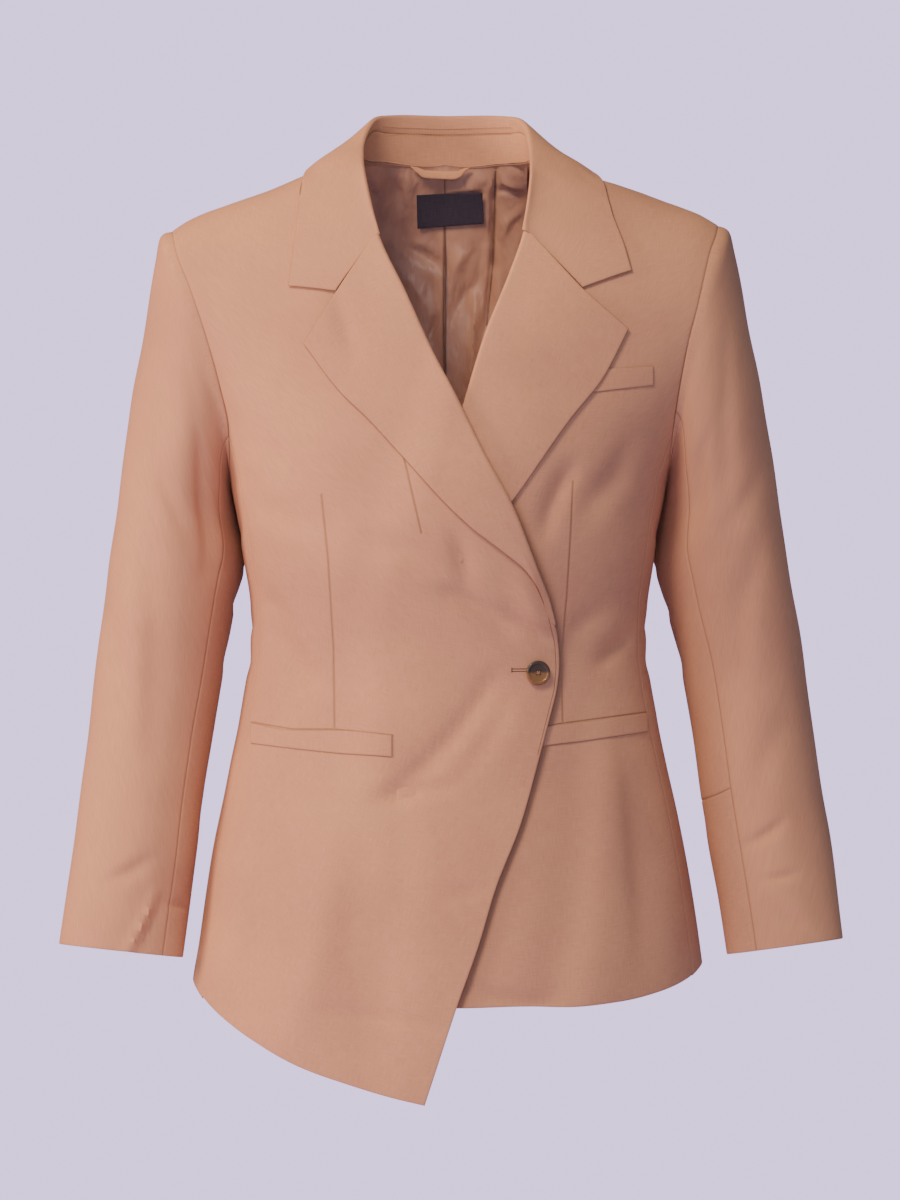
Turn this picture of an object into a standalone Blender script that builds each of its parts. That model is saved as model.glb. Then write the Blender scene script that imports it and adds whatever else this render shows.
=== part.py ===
"""Wrap blazer with one button, filled out as when worn and open inside.

Metres, +Z up. The front faces -Y and the wearer's right side lies at -X. The origin
is in the middle of the neck, level with the shoulder line beside the collar.
Tables give real sizes; a "drop" is a depth below the sloping shoulder line.
"""

import math

import bmesh
import bpy
import numpy as np

# Cloth and gaps
CLOTH = 0.0012
LINING = 0.0010
SEAM = 0.0003
SIDE_GAP = 0.0004
SHOULDER_GAP = 0.0005
FRONT = -1.0
BACK = 1.0
RIGHT = -1.0
LEFT = 1.0

# Torso: the oval sections, and the armhole that cuts them above the underarm
UNDERARM = 0.254
SQUARENESS = 2.3
ARMHOLE_FRONT = 0.062
ARMHOLE_BACK = 0.068
BODY_COLUMNS = ("drop", "right", "left", "front", "back")
BODY_ROWS = (
    (0.0000, 0.2247, 0.2247, 0.0000, 0.0000),
    (0.0012, 0.2246, 0.2246, 0.0120, 0.0140),
    (0.0040, 0.2243, 0.2242, 0.0220, 0.0280),
    (0.0100, 0.2235, 0.2232, 0.0340, 0.0450),
    (0.0300, 0.2200, 0.2182, 0.0530, 0.0700),
    (0.0600, 0.2115, 0.2128, 0.0720, 0.0860),
    (0.0900, 0.2035, 0.2075, 0.0865, 0.0950),
    (0.1200, 0.1957, 0.2010, 0.0980, 0.1005),
    (0.1700, 0.1843, 0.1925, 0.1130, 0.1040),
    (0.2050, 0.1780, 0.1878, 0.1215, 0.1060),
    (0.2540, 0.1765, 0.1828, 0.1260, 0.1030),
    (0.2850, 0.1710, 0.1770, 0.1250, 0.0990),
    (0.3200, 0.1655, 0.1720, 0.1205, 0.0930),
    (0.3600, 0.1600, 0.1665, 0.1125, 0.0850),
    (0.3940, 0.1605, 0.1660, 0.1070, 0.0805),
    (0.4200, 0.1640, 0.1690, 0.1055, 0.0810),
    (0.4500, 0.1690, 0.1745, 0.1080, 0.0860),
    (0.4900, 0.1780, 0.1835, 0.1140, 0.0950),
    (0.5300, 0.1863, 0.1925, 0.1210, 0.1040),
    (0.5800, 0.1955, 0.2020, 0.1300, 0.1130),
    (0.6300, 0.2020, 0.2093, 0.1370, 0.1190),
    (0.6650, 0.2075, 0.2135, 0.1410, 0.1220),
    (0.7000, 0.2105, 0.2170, 0.1440, 0.1240),
    (0.7800, 0.2150, 0.2210, 0.1490, 0.1270),
)
SHOULDER_COLUMNS = ("out", "right", "left")
SHOULDER_ROWS = (
    (0.0000, 0.0350, 0.0350),
    (0.0400, 0.0240, 0.0240),
    (0.0660, 0.0120, 0.0120),
    (0.1100, -0.0010, -0.0010),
    (0.1435, -0.0145, -0.0115),
    (0.1780, -0.0271, -0.0238),
    (0.2090, -0.0394, -0.0350),
    (0.2247, -0.0490, -0.0443),
    (0.2400, -0.0590, -0.0540),
)

# Front edges: the roll line from the neck to the break, then the edge to the hem
EDGE_COLUMNS = ("z", "x")
RIGHT_EDGE_ROWS = (
    (0.0120, -0.0664),
    (-0.0049, -0.0648),
    (-0.0320, -0.0595),
    (-0.0533, -0.0537),
    (-0.1017, -0.0312),
    (-0.1492, -0.0098),
    (-0.1993, 0.0156),
    (-0.2329, 0.0320),
    (-0.2722, 0.0533),
    (-0.3247, 0.0738),
    (-0.3559, 0.0861),
    (-0.3895, 0.0927),
    (-0.4050, 0.0936),
    (-0.4239, 0.0918),
    (-0.4477, 0.0861),
    (-0.4789, 0.0771),
    (-0.5363, 0.0615),
    (-0.5896, 0.0410),
    (-0.6339, 0.0279),
    (-0.6855, 0.0098),
    (-0.7430, -0.0090),
    (-0.7660, -0.0165),
)
LEFT_EDGE_ROWS = (
    (0.0120, 0.0690),
    (-0.0025, 0.0693),
    (-0.0271, 0.0672),
    (-0.0500, 0.0640),
    (-0.0845, 0.0525),
    (-0.1337, 0.0328),
    (-0.1894, 0.0156),
    (-0.2540, -0.0040),
    (-0.3200, -0.0250),
    (-0.3720, -0.0400),
    (-0.4200, -0.0430),
    (-0.5000, -0.0400),
    (-0.6000, -0.0330),
    (-0.6863, -0.0246),
)
HEM_COLUMNS = ("x", "z")
RIGHT_HEM_ROWS = (
    (-0.2200, -0.6580),
    (-0.2075, -0.6650),
    (-0.1986, -0.6760),
    (-0.1845, -0.6930),
    (-0.1566, -0.7140),
    (-0.1170, -0.7355),
    (-0.0770, -0.7495),
    (-0.0418, -0.7600),
    (-0.0165, -0.7660),
)
LEFT_HEM_ROWS = (
    (-0.0246, -0.6863),
    (0.0115, -0.6863),
    (0.0713, -0.6847),
    (0.1017, -0.6855),
    (0.1427, -0.6814),
    (0.1770, -0.6732),
    (0.2001, -0.6626),
    (0.2124, -0.6510),
    (0.2250, -0.6450),
)
RIGHT_SIDE_HEM = -0.6650
LEFT_SIDE_HEM = -0.6510
BACK_HEM = -0.6600
NECK_RIGHT = 0.0695
NECK_LEFT = 0.0725
NECK_BACK = 0.0660

# The lap, and the lapels that fold back over the fronts
LAP_LIFT = 0.0056
LAP_BEGINS = 0.050
LAP_FULL = 0.006
ROLL_INSET = 0.0046
RIGHT_BREAK = -0.372
LEFT_BREAK = -0.365
BREAK_FADE = 0.030
LAPEL_OUT = 0.0044
LAPEL_OUT_HIDDEN = 0.0026
LAPEL_COVERED = -0.215
LAPEL_SHOWN = -0.150
GORGE_GAP = 0.0020
TURN_PAST = 1.5
BEND_POWER = 4
RIGHT_GORGE = (-0.0537, -0.0533)
LEFT_GORGE = (0.0640, -0.0500)
RIGHT_NOTCH = (-0.0894, -0.1009)
LEFT_NOTCH = (0.1123, -0.0984)
RIGHT_LAPEL_ROWS = (
    (-0.1427, -0.1156),
    (-0.1829, -0.0853),
    (-0.2050, -0.0623),
    (-0.2329, -0.0369),
    (-0.2895, 0.0172),
    (-0.3124, 0.0467),
    (-0.3288, 0.0656),
    (-0.3480, 0.0770),
    (-0.3640, 0.0815),
)
LEFT_LAPEL_ROWS = (
    (-0.1304, 0.1500),
    (-0.1722, 0.1279),
    (-0.2050, 0.1017),
    (-0.2739, 0.0533),
    (-0.3150, 0.0200),
    (-0.3480, -0.0130),
    (-0.3600, -0.0290),
)

# Collar: the roll line and the leaf's edge, from each gorge to the centre back
COLLAR_COLUMNS = (
    "roll_x", "roll_y", "roll_z", "edge_x", "edge_y", "edge_z", "tuck", "inside")
RIGHT_COLLAR_ROWS = (
    (-0.0560, -0.0780, -0.0530, -0.1287, -0.0850, -0.0951, 85, 0.0040),
    (-0.0620, -0.0680, -0.0320, -0.1250, -0.0750, -0.0680, 72, 0.0040),
    (-0.0672, -0.0470, -0.0049, -0.1212, -0.0500, -0.0360, 50, 0.0040),
    (-0.0690, -0.0270, 0.0100, -0.1178, -0.0240, -0.0110, 28, 0.0040),
    (-0.0688, -0.0040, 0.0225, -0.1135, 0.0040, 0.0015, 10, 0.0040),
    (-0.0645, 0.0220, 0.0370, -0.1030, 0.0380, -0.0030, 0, 0.0060),
    (-0.0560, 0.0440, 0.0465, -0.0830, 0.0610, -0.0110, 0, 0.0130),
    (-0.0330, 0.0610, 0.0480, -0.0480, 0.0755, -0.0130, 0, 0.0155),
    (0.0000, 0.0670, 0.0470, 0.0000, 0.0810, -0.0125, 0, 0.0155),
)
LEFT_COLLAR_ROWS = (
    (0.0663, -0.0780, -0.0487, 0.1533, -0.0850, -0.0820, 85, 0.0036),
    (0.0700, -0.0660, -0.0271, 0.1470, -0.0720, -0.0600, 72, 0.0040),
    (0.0721, -0.0450, -0.0025, 0.1380, -0.0450, -0.0370, 50, 0.0040),
    (0.0722, -0.0250, 0.0100, 0.1310, -0.0220, -0.0160, 28, 0.0040),
    (0.0716, -0.0040, 0.0210, 0.1225, 0.0040, -0.0010, 10, 0.0040),
    (0.0690, 0.0220, 0.0350, 0.1090, 0.0380, -0.0050, 0, 0.0060),
    (0.0600, 0.0440, 0.0455, 0.0860, 0.0610, -0.0115, 0, 0.0130),
    (0.0350, 0.0610, 0.0480, 0.0500, 0.0755, -0.0130, 0, 0.0155),
    (0.0000, 0.0670, 0.0470, 0.0000, 0.0810, -0.0125, 0, 0.0155),
)
ROLL_RADIUS = 0.0028
LEAF_BULGE = 0.0045
LEAF_OUT = 0.0031
LEAF_RISE = math.radians(14)
NOTCH_SHARE = 0.6
NOTCH_STATIONS = 1.6
HUG_FULL = 2.0
HUG_GONE = 4.0
BODY_DROPS = (0.0, 0.16, 321)
STAND_START = 3.6
STAND_CLEAR = 0.0014
STAND_GAP = 0.0008
STAND_END_GAP = 0.0012
STAND_EVEN = 4.0
STAND_WIDE = 6.0
STAND_ROWS = 4
STAND_ANGLES = (-6, -2, 21, 39, 62, 90)
STAND_STATIONS = (3, 4, 5, 6, 7, 8)

# Sleeves: rings from the armhole to the cuff, by their outer and inner ends
SLEEVE_COLUMNS = (
    "along", "outer_x", "outer_z", "inner_x", "inner_z",
    "half_depth", "middle_y", "bow", "inner_back")
RIGHT_SLEEVE_ROWS = (
    (0.00, 0.2247, -0.0490, 0.1765, -0.2540, 0.0650, 0.003, 0.0066, 0.000),
    (0.03, 0.2335, -0.0545, 0.1795, -0.2580, 0.0655, 0.003, 0.0062, 0.002),
    (0.06, 0.2375, -0.0720, 0.1800, -0.2630, 0.0670, 0.003, 0.0058, 0.005),
    (0.11, 0.2427, -0.0984, 0.1790, -0.2700, 0.0690, 0.004, 0.0050, 0.009),
    (0.17, 0.2485, -0.1402, 0.1770, -0.2780, 0.0705, 0.005, 0.0035, 0.014),
    (0.24, 0.2572, -0.1845, 0.1745, -0.2870, 0.0705, 0.006, 0.0015, 0.018),
    (0.31, 0.2640, -0.2280, 0.1715, -0.2980, 0.0690, 0.007, 0.0000, 0.021),
    (0.39, 0.2706, -0.2829, 0.1668, -0.3220, 0.0665, 0.008, 0.0000, 0.022),
    (0.47, 0.2790, -0.3400, 0.1725, -0.3560, 0.0635, 0.008, 0.0000, 0.018),
    (0.55, 0.2875, -0.4050, 0.1815, -0.4100, 0.0600, 0.008, 0.0000, 0.010),
    (0.63, 0.2936, -0.4608, 0.1915, -0.4640, 0.0565, 0.005, 0.0000, 0.004),
    (0.71, 0.2990, -0.5050, 0.1985, -0.5130, 0.0525, -0.001, 0.0000, 0.000),
    (0.80, 0.3045, -0.5450, 0.2040, -0.5570, 0.0475, -0.010, 0.0000, 0.000),
    (0.90, 0.3105, -0.5900, 0.2095, -0.6030, 0.0410, -0.020, 0.0000, 0.000),
    (1.00, 0.3169, -0.6351, 0.2152, -0.6462, 0.0350, -0.030, 0.0000, 0.000),
)
LEFT_SLEEVE_ROWS = (
    (0.00, 0.2247, -0.0443, 0.1828, -0.2540, 0.0650, 0.003, 0.0050, 0.000),
    (0.03, 0.2335, -0.0500, 0.1858, -0.2580, 0.0655, 0.003, 0.0048, 0.002),
    (0.06, 0.2382, -0.0670, 0.1862, -0.2630, 0.0670, 0.003, 0.0044, 0.005),
    (0.11, 0.2450, -0.0984, 0.1852, -0.2700, 0.0690, 0.004, 0.0038, 0.009),
    (0.17, 0.2523, -0.1402, 0.1832, -0.2780, 0.0705, 0.005, 0.0028, 0.014),
    (0.24, 0.2608, -0.1845, 0.1808, -0.2870, 0.0705, 0.006, 0.0010, 0.018),
    (0.31, 0.2684, -0.2280, 0.1778, -0.2980, 0.0690, 0.007, 0.0000, 0.021),
    (0.39, 0.2765, -0.2829, 0.1735, -0.3190, 0.0665, 0.008, 0.0000, 0.022),
    (0.47, 0.2855, -0.3400, 0.1805, -0.3560, 0.0635, 0.008, 0.0000, 0.018),
    (0.55, 0.2960, -0.4050, 0.1935, -0.4050, 0.0600, 0.008, 0.0000, 0.010),
    (0.63, 0.3032, -0.4620, 0.2030, -0.4600, 0.0565, 0.005, 0.0000, 0.004),
    (0.71, 0.3105, -0.5100, 0.2105, -0.5130, 0.0525, -0.001, 0.0000, 0.000),
    (0.80, 0.3170, -0.5480, 0.2165, -0.5540, 0.0475, -0.010, 0.0000, 0.000),
    (0.90, 0.3227, -0.5900, 0.2245, -0.5980, 0.0410, -0.020, 0.0000, 0.000),
    (1.00, 0.3272, -0.6306, 0.2312, -0.6437, 0.0350, -0.030, 0.0000, 0.000),
)
SLEEVE_SETTLES = 0.12
SLEEVE_SHIFT = 0.0006
SLEEVE_LENGTH = 0.6
SLEEVE_RADIUS = 0.018
RIGHT_FRONT_SLEEVE_SEAM = 133
LEFT_FRONT_SLEEVE_SEAM = 120
BACK_SLEEVE_SEAM = 240
PIECING_SEAM = 0.70
PIECING_RISE = 0.02

# Folds: soft troughs between two points of the front, by width and depth
FOLD_COLUMNS = ("x0", "z0", "x1", "z1", "width", "height")
RIGHT_FOLD_ROWS = (
    (0.0287, -0.4280, -0.0369, -0.5110, 0.0160, -0.0022),
    (0.0010, -0.3460, 0.0490, -0.3730, 0.0100, -0.0016),
    (-0.1350, -0.3840, -0.1160, -0.4150, 0.0140, -0.0022),
    (-0.0520, -0.5160, -0.0020, -0.5080, 0.0090, -0.0014),
    (-0.1000, -0.6900, -0.1150, -0.5400, 0.0260, 0.0022),
)
LEFT_FOLD_ROWS = (
    (0.0860, -0.2890, 0.1010, -0.2520, 0.0130, -0.0024),
    (0.1340, -0.4020, 0.1570, -0.3810, 0.0110, -0.0016),
    (0.1250, -0.6700, 0.1300, -0.5000, 0.0220, 0.0024),
    (0.0900, -0.6700, 0.0980, -0.5000, 0.0180, -0.0020),
)

# Pockets, by their top and bottom edges from the centre out
WELT_OUT = 0.0010
WELT_ACROSS = 9
WELT_COLUMNS = ("x", "top", "bottom")
RIGHT_WELT_ROWS = (
    (-0.0426, -0.4641, -0.4822),
    (-0.0902, -0.4592, -0.4780),
    (-0.1246, -0.4592, -0.4745),
    (-0.1591, -0.4535, -0.4703),
)
LEFT_WELT_ROWS = (
    (0.0500, -0.4605, -0.4765),
    (0.0845, -0.4559, -0.4718),
    (0.1250, -0.4506, -0.4665),
    (0.1660, -0.4453, -0.4608),
)
CHEST_WELT_ROWS = (
    (0.1080, -0.1636, -0.1846),
    (0.1312, -0.1628, -0.1815),
    (0.1706, -0.1607, -0.1767),
)

# Trim
BUTTON_X = 0.0744
BUTTON_Z = -0.4119
BUTTON_RADIUS = 0.0100
BUTTON_OUT = 0.0012
BUTTON_SIDES = 24
CLEAR_OUT = 0.01
BUTTON_PROFILE = (
    (0.85, 0.0000),
    (0.98, 0.0008),
    (1.00, 0.0018),
    (0.94, 0.0028),
    (0.82, 0.0030),
    (0.74, 0.0024),
    (0.66, 0.0021),
)
LINING_BEHIND = 0.0022
LINING_LOW = 0.262
LINING_HALF = 0.098
PLEAT_WIDTH = 0.006
PLEAT_DEPTH = 0.0030
PLEAT_STARTS = 0.035
PLEAT_FULL = 0.070
LINING_IN = 0.004
LINING_ASIDE = 0.002
LINING_STEPS = 13
LINING_SPACING = 1.3
LINING_HALF_COLUMNS = (0.0, 0.003, 0.006, 0.010, 0.016, 0.028, 0.0387, 0.0493, 0.060)
LABEL_CORNERS = ((-0.0246, -0.0197), (0.0320, -0.0172), (0.0328, -0.0443), (-0.0234, -0.0488))
LABEL_THICK = 0.0006
LABEL_COLUMNS = 9
LABEL_ROWS = 4
LOOP_LEFT = -0.0270
LOOP_RIGHT = 0.0213
LOOP_TOP = 0.0074
LOOP_LOW = -0.0046
LOOP_THICK = 0.0014
LOOP_LEAN = 0.0045
LOOP_FORWARD = 0.0021
LOOP_COLUMNS = 9
LOOP_ROWS = 4

# Steps for slopes
NEAR = 0.0002
NEAR_TURN = 0.005
NEAR_ALONG = 0.002
SLEEVE_NEAR = 0.03
NEAR_STATION = 0.15

# How finely each wall is divided
ARMHOLE_TURNS = (0, 8, 18, 32, 47, 62, 77, 92, 106, 120, 133, 149, 165, 180)
SIDE_TURN = 133
SIDE_ROWS = 15
FRONT_COLUMNS = 15
BACK_COLUMNS = 10
NECK_COLUMNS = 5
SLEEVE_RINGS = 18
RINGS_CLOSE = 0.45
RING_APART = 0.03
LAPEL_ROWS = 18
LAPEL_CURL = 5
LAPEL_SHARES = (0.0, 0.27, 0.54, 0.77, 1.0)
COLLAR_STATIONS = 33
COLLAR_ARC = 5
COLLAR_SHARES = (0.2, 0.4, 0.6, 0.8, 1.0)
STAND_COLUMNS = 25
NECK_FADE = 6
CREASE_ANGLE = math.radians(40)

# Colours
TAN = (0.565, 0.318, 0.205, 1.0)
ROSE = (0.330, 0.175, 0.130, 1.0)
INK = (0.020, 0.019, 0.030, 1.0)
HORN = (0.150, 0.080, 0.045, 1.0)


class Curve:
    """A smooth curve through table values, with no overshoot between them."""

    def __init__(self, xs, ys):
        order = np.argsort(xs)
        self.x = np.asarray(xs, float)[order]
        self.y = np.asarray(ys, float)[order]
        step = np.diff(self.x)
        rise = np.diff(self.y) / step
        self.slope = np.zeros(len(self.x))
        self.slope[0] = rise[0]
        self.slope[-1] = rise[-1]
        turning = rise[:-1] * rise[1:] <= 0
        before = np.where(turning, 1.0, rise[:-1])
        after = np.where(turning, 1.0, rise[1:])
        heavy = 2 * step[1:] + step[:-1]
        light = step[1:] + 2 * step[:-1]
        mean = (heavy + light) / (heavy / before + light / after)
        self.slope[1:-1] = np.where(turning, 0.0, mean)

    def __call__(self, x):
        x = np.clip(x, self.x[0], self.x[-1])
        k = np.clip(np.searchsorted(self.x, x) - 1, 0, len(self.x) - 2)
        step = self.x[k + 1] - self.x[k]
        t = (x - self.x[k]) / step
        start = self.y[k] * (1 + 2 * t) * (1 - t) ** 2 + self.slope[k] * step * t * (1 - t) ** 2
        end = self.y[k + 1] * t * t * (3 - 2 * t) + self.slope[k + 1] * step * t * t * (t - 1)
        return start + end


def curves(names, rows):
    """Make a curve of every column against the first one."""
    values = list(zip(*rows))
    return {name: Curve(values[0], values[i + 1]) for i, name in enumerate(names[1:])}


def smoothstep(x, low, high):
    t = np.clip((x - low) / (high - low), 0.0, 1.0)
    return t * t * (3 - 2 * t)


def unit(vectors):
    length = np.linalg.norm(vectors, axis=-1, keepdims=True)
    return vectors / np.maximum(length, 1e-12)


BODY = curves(BODY_COLUMNS, BODY_ROWS)
SHOULDER = curves(SHOULDER_COLUMNS, SHOULDER_ROWS)
EDGE = {
    RIGHT: curves(EDGE_COLUMNS, RIGHT_EDGE_ROWS)["x"],
    LEFT: curves(EDGE_COLUMNS, LEFT_EDGE_ROWS)["x"],
}
HEM = {
    RIGHT: curves(HEM_COLUMNS, RIGHT_HEM_ROWS)["z"],
    LEFT: curves(HEM_COLUMNS, LEFT_HEM_ROWS)["z"],
}
LAPEL_EDGE = {
    RIGHT: curves(EDGE_COLUMNS, RIGHT_LAPEL_ROWS)["x"],
    LEFT: curves(EDGE_COLUMNS, LEFT_LAPEL_ROWS)["x"],
}
SLEEVE = {
    RIGHT: curves(SLEEVE_COLUMNS, RIGHT_SLEEVE_ROWS),
    LEFT: curves(SLEEVE_COLUMNS, LEFT_SLEEVE_ROWS),
}
SIDE_HEM = {RIGHT: RIGHT_SIDE_HEM, LEFT: LEFT_SIDE_HEM}
NECK_HALF = {RIGHT: NECK_RIGHT, LEFT: NECK_LEFT}


# The torso's surface

def shoulder_height(x):
    """Give the height of the shoulder line above a place across the body."""
    out = np.abs(x)
    return np.where(x < 0, SHOULDER["right"](out), SHOULDER["left"](out))


def drop_at(x, z):
    top = shoulder_height(x) + UNDERARM
    return np.where(z < -UNDERARM, -z, UNDERARM - (z + UNDERARM) * UNDERARM / top)


def height_at(x, drop):
    top = shoulder_height(x) + UNDERARM
    return np.where(drop > UNDERARM, -drop, -UNDERARM + (UNDERARM - drop) * top / UNDERARM)


def side_width(side, drop):
    return BODY["right" if side == RIGHT else "left"](drop)


def body_depth(face, drop):
    return BODY["front" if face == FRONT else "back"](drop)


def armhole_reach(face, drop):
    """Give the armhole's depth at a drop, as a share of the torso's depth there."""
    widest = ARMHOLE_FRONT if face == FRONT else ARMHOLE_BACK
    height = np.clip(2 * drop / UNDERARM - 1, -1.0, 1.0)
    depth = widest * np.sqrt(1 - height ** 2)
    return np.clip(depth / np.maximum(body_depth(face, drop), 1e-4), 0.0, 0.9)


def half_width(side, face, drop):
    """Give the oval's half width, so that it runs through the armhole's edge."""
    share = (1 - armhole_reach(face, drop) ** SQUARENESS) ** (1 / SQUARENESS)
    return side_width(side, drop) / share


def torso(face, x, drop):
    """Give the point of the torso's surface at a place across it and a drop."""
    wide = np.where(x < 0, half_width(RIGHT, face, drop), half_width(LEFT, face, drop))
    share = np.clip(np.abs(x) / wide, 0.0, 0.9999999)
    depth = body_depth(face, drop) * (1 - share ** SQUARENESS) ** (1 / SQUARENESS)
    gap = SHOULDER_GAP * (1 - smoothstep(drop, 0.0, 0.05))
    return np.stack([x, face * (depth + gap), height_at(x, drop)], axis=-1)


def torso_normal(face, x, drop):
    """Give the way out from the torso's surface."""
    across = torso(face, x + NEAR, drop) - torso(face, x - NEAR, drop)
    low = np.maximum(drop - NEAR, 0.0)
    down = torso(face, x, low + 2 * NEAR) - torso(face, x, low)
    return unit(np.cross(across, down)) * face


def torso_out(face, x, drop, out):
    """Move a point of the torso out along the surface's normal."""
    normal = torso_normal(face, x, drop)
    return torso(face, x, drop) + normal * np.asarray(out)[..., None]


def torso_ring(side, angle, drop):
    """Give a point by its angle round the body from the front centre."""
    power = 2 / SQUARENESS
    front = angle < math.pi / 2
    wide = np.where(front, half_width(side, FRONT, drop), half_width(side, BACK, drop))
    deep = np.where(front, -body_depth(FRONT, drop), body_depth(BACK, drop))
    x = side * wide * np.sin(angle) ** power
    y = deep * np.abs(np.cos(angle)) ** power
    return np.stack([x, y, height_at(x, drop)], axis=-1)


def ring_normal(side, angle, drop):
    """Give the way out from the torso by the angle round the body."""
    across = torso_ring(side, angle + NEAR_TURN, drop) - torso_ring(side, angle - NEAR_TURN, drop)
    down = torso_ring(side, angle, drop + NEAR) - torso_ring(side, angle, drop - NEAR)
    return unit(np.cross(down, across)) * side


def folds(rows, x, z):
    """Sum the soft troughs and ridges at a place of the front."""
    total = np.zeros(np.broadcast(x, z).shape)
    for x0, z0, x1, z1, width, height in rows:
        run_x = x1 - x0
        run_z = z1 - z0
        length = run_x ** 2 + run_z ** 2
        along = ((x - x0) * run_x + (z - z0) * run_z) / length
        near = np.clip(along, 0.0, 1.0)
        apart = (x - x0 - near * run_x) ** 2 + (z - z0 - near * run_z) ** 2
        total = total + height * np.exp(-apart / width ** 2)
    return total


def lap_lift(x, z):
    """Give how far the right front stands off where it laps over the left one."""
    hidden = EDGE[LEFT](z)
    return LAP_LIFT * smoothstep(x, hidden - LAP_BEGINS, hidden - LAP_FULL)


def front_point(side, x, z, out):
    """Give a point on a front, moved out from the cloth's outer face."""
    rows = RIGHT_FOLD_ROWS if side == RIGHT else LEFT_FOLD_ROWS
    away = out + folds(rows, x, z)
    if side == RIGHT:
        away = away + lap_lift(x, z)
    return torso_out(FRONT, x, drop_at(x, z), away)


# Solids

def material(name, colour, roughness):
    shade = bpy.data.materials.new(name)
    shade.use_nodes = True
    shader = shade.node_tree.nodes["Principled BSDF"]
    shader.inputs["Base Color"].default_value = colour
    shader.inputs["Roughness"].default_value = roughness
    shader.inputs["Metallic"].default_value = 0.0
    shade.diffuse_color = colour
    return shade


def finish_mesh(name, points, faces, colour, roughness):
    """Make the object, with its faces pointing out and its edges kept sharp."""
    mesh = bpy.data.meshes.new(name)
    mesh.from_pydata([tuple(p) for p in points], [], faces)
    shape = bmesh.new()
    shape.from_mesh(mesh)
    bmesh.ops.recalc_face_normals(shape, faces=shape.faces)
    shape.to_mesh(mesh)
    shape.free()
    mesh.shade_smooth()
    mesh.set_sharp_from_angle(angle=CREASE_ANGLE)
    mesh.materials.append(material(name + "_cloth", colour, roughness))
    thing = bpy.data.objects.new(name, mesh)
    bpy.context.collection.objects.link(thing)
    return thing


def grid_normals(grid):
    along = np.gradient(grid, axis=0)
    across = np.gradient(grid, axis=1)
    return unit(np.cross(across, along))


def wall(name, grid, thick, colour=TAN, roughness=0.85, flip=False, normals=None):
    """Close a grid of outer points into a wall, its inner face moved in from it."""
    rows, cols = grid.shape[:2]
    if normals is None:
        normals = -grid_normals(grid) if flip else grid_normals(grid)
    inner = grid - normals * thick
    points = np.concatenate([grid.reshape(-1, 3), inner.reshape(-1, 3)])
    count = rows * cols
    faces = []
    for r in range(rows - 1):
        for c in range(cols - 1):
            a = r * cols + c
            quad = (a, a + 1, a + cols + 1, a + cols)
            faces.append(quad)
            faces.append(tuple(count + k for k in reversed(quad)))
    rim = [c for c in range(cols)]
    rim += [r * cols + cols - 1 for r in range(1, rows)]
    rim += [(rows - 1) * cols + c for c in range(cols - 2, -1, -1)]
    rim += [r * cols for r in range(rows - 2, 0, -1)]
    for k, a in enumerate(rim):
        b = rim[(k + 1) % len(rim)]
        faces.append((a, count + a, count + b, b))
    return finish_mesh(name, points, faces, colour, roughness)


def spread(low, high, count):
    return np.linspace(low, high, count)


def patch(bottom, top, start, end, v):
    """Blend four edges into a grid: rows run from bottom to top, columns from start to end."""
    v = v[:, None, None]
    u = spread(0.0, 1.0, len(bottom))[None, :, None]
    sides = start[:, None] * (1 - u) + end[:, None] * u
    ends = bottom[None] * (1 - v) + top[None] * v
    low = bottom[0] * (1 - u) + bottom[-1] * u
    high = top[0] * (1 - u) + top[-1] * u
    return sides + ends - (low * (1 - v) + high * v)


# Body panels

def turn_drop(turn):
    """Give the armhole's drop at a turn round it from the shoulder."""
    return UNDERARM * (1 - np.cos(turn)) / 2


def turn_angle(turn):
    """Give the angle round the body at which the armhole has a turn."""
    face = FRONT if turn <= math.pi else BACK
    reach = float(armhole_reach(face, turn_drop(turn)))
    lean = math.acos(reach ** (SQUARENESS / 2))
    return lean if face == FRONT else math.pi - lean


FRONT_SEAM_ANGLE = turn_angle(math.radians(SIDE_TURN))
BACK_SEAM_ANGLE = turn_angle(math.radians(360 - SIDE_TURN))


def seam_x(side, face, drop):
    """Give how far out a front or back reaches: to its side seam or the armhole."""
    angle = FRONT_SEAM_ANGLE if face == FRONT else BACK_SEAM_ANGLE
    share = abs(math.sin(angle)) ** (2 / SQUARENESS)
    seam = half_width(side, face, drop) * share - SEAM / 2
    armhole_end = turn_drop(math.radians(SIDE_TURN))
    return np.where(drop < armhole_end, side_width(side, drop), seam)


def seam_drops(hem):
    """Give the drops of a panel's rows, up its side seam and round the armhole."""
    below = spread(hem, turn_drop(math.radians(SIDE_TURN)), SIDE_ROWS)
    turns = [turn for turn in reversed(ARMHOLE_TURNS) if turn < SIDE_TURN]
    return np.concatenate([below, turn_drop(np.radians(turns))])


def side_hem(side, angle):
    """Give the hem's height round the side, from the front's seam to the back's."""
    front = float(HEM[side](np.array(side * seam_x(side, FRONT, -SIDE_HEM[side]))))
    middle = SIDE_HEM[side]
    if angle < math.pi / 2:
        share = smoothstep(angle, FRONT_SEAM_ANGLE, math.pi / 2)
        return front + (middle - front) * share
    share = (angle - math.pi / 2) / (math.pi / 2)
    return middle + (BACK_HEM - middle) * share


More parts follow.
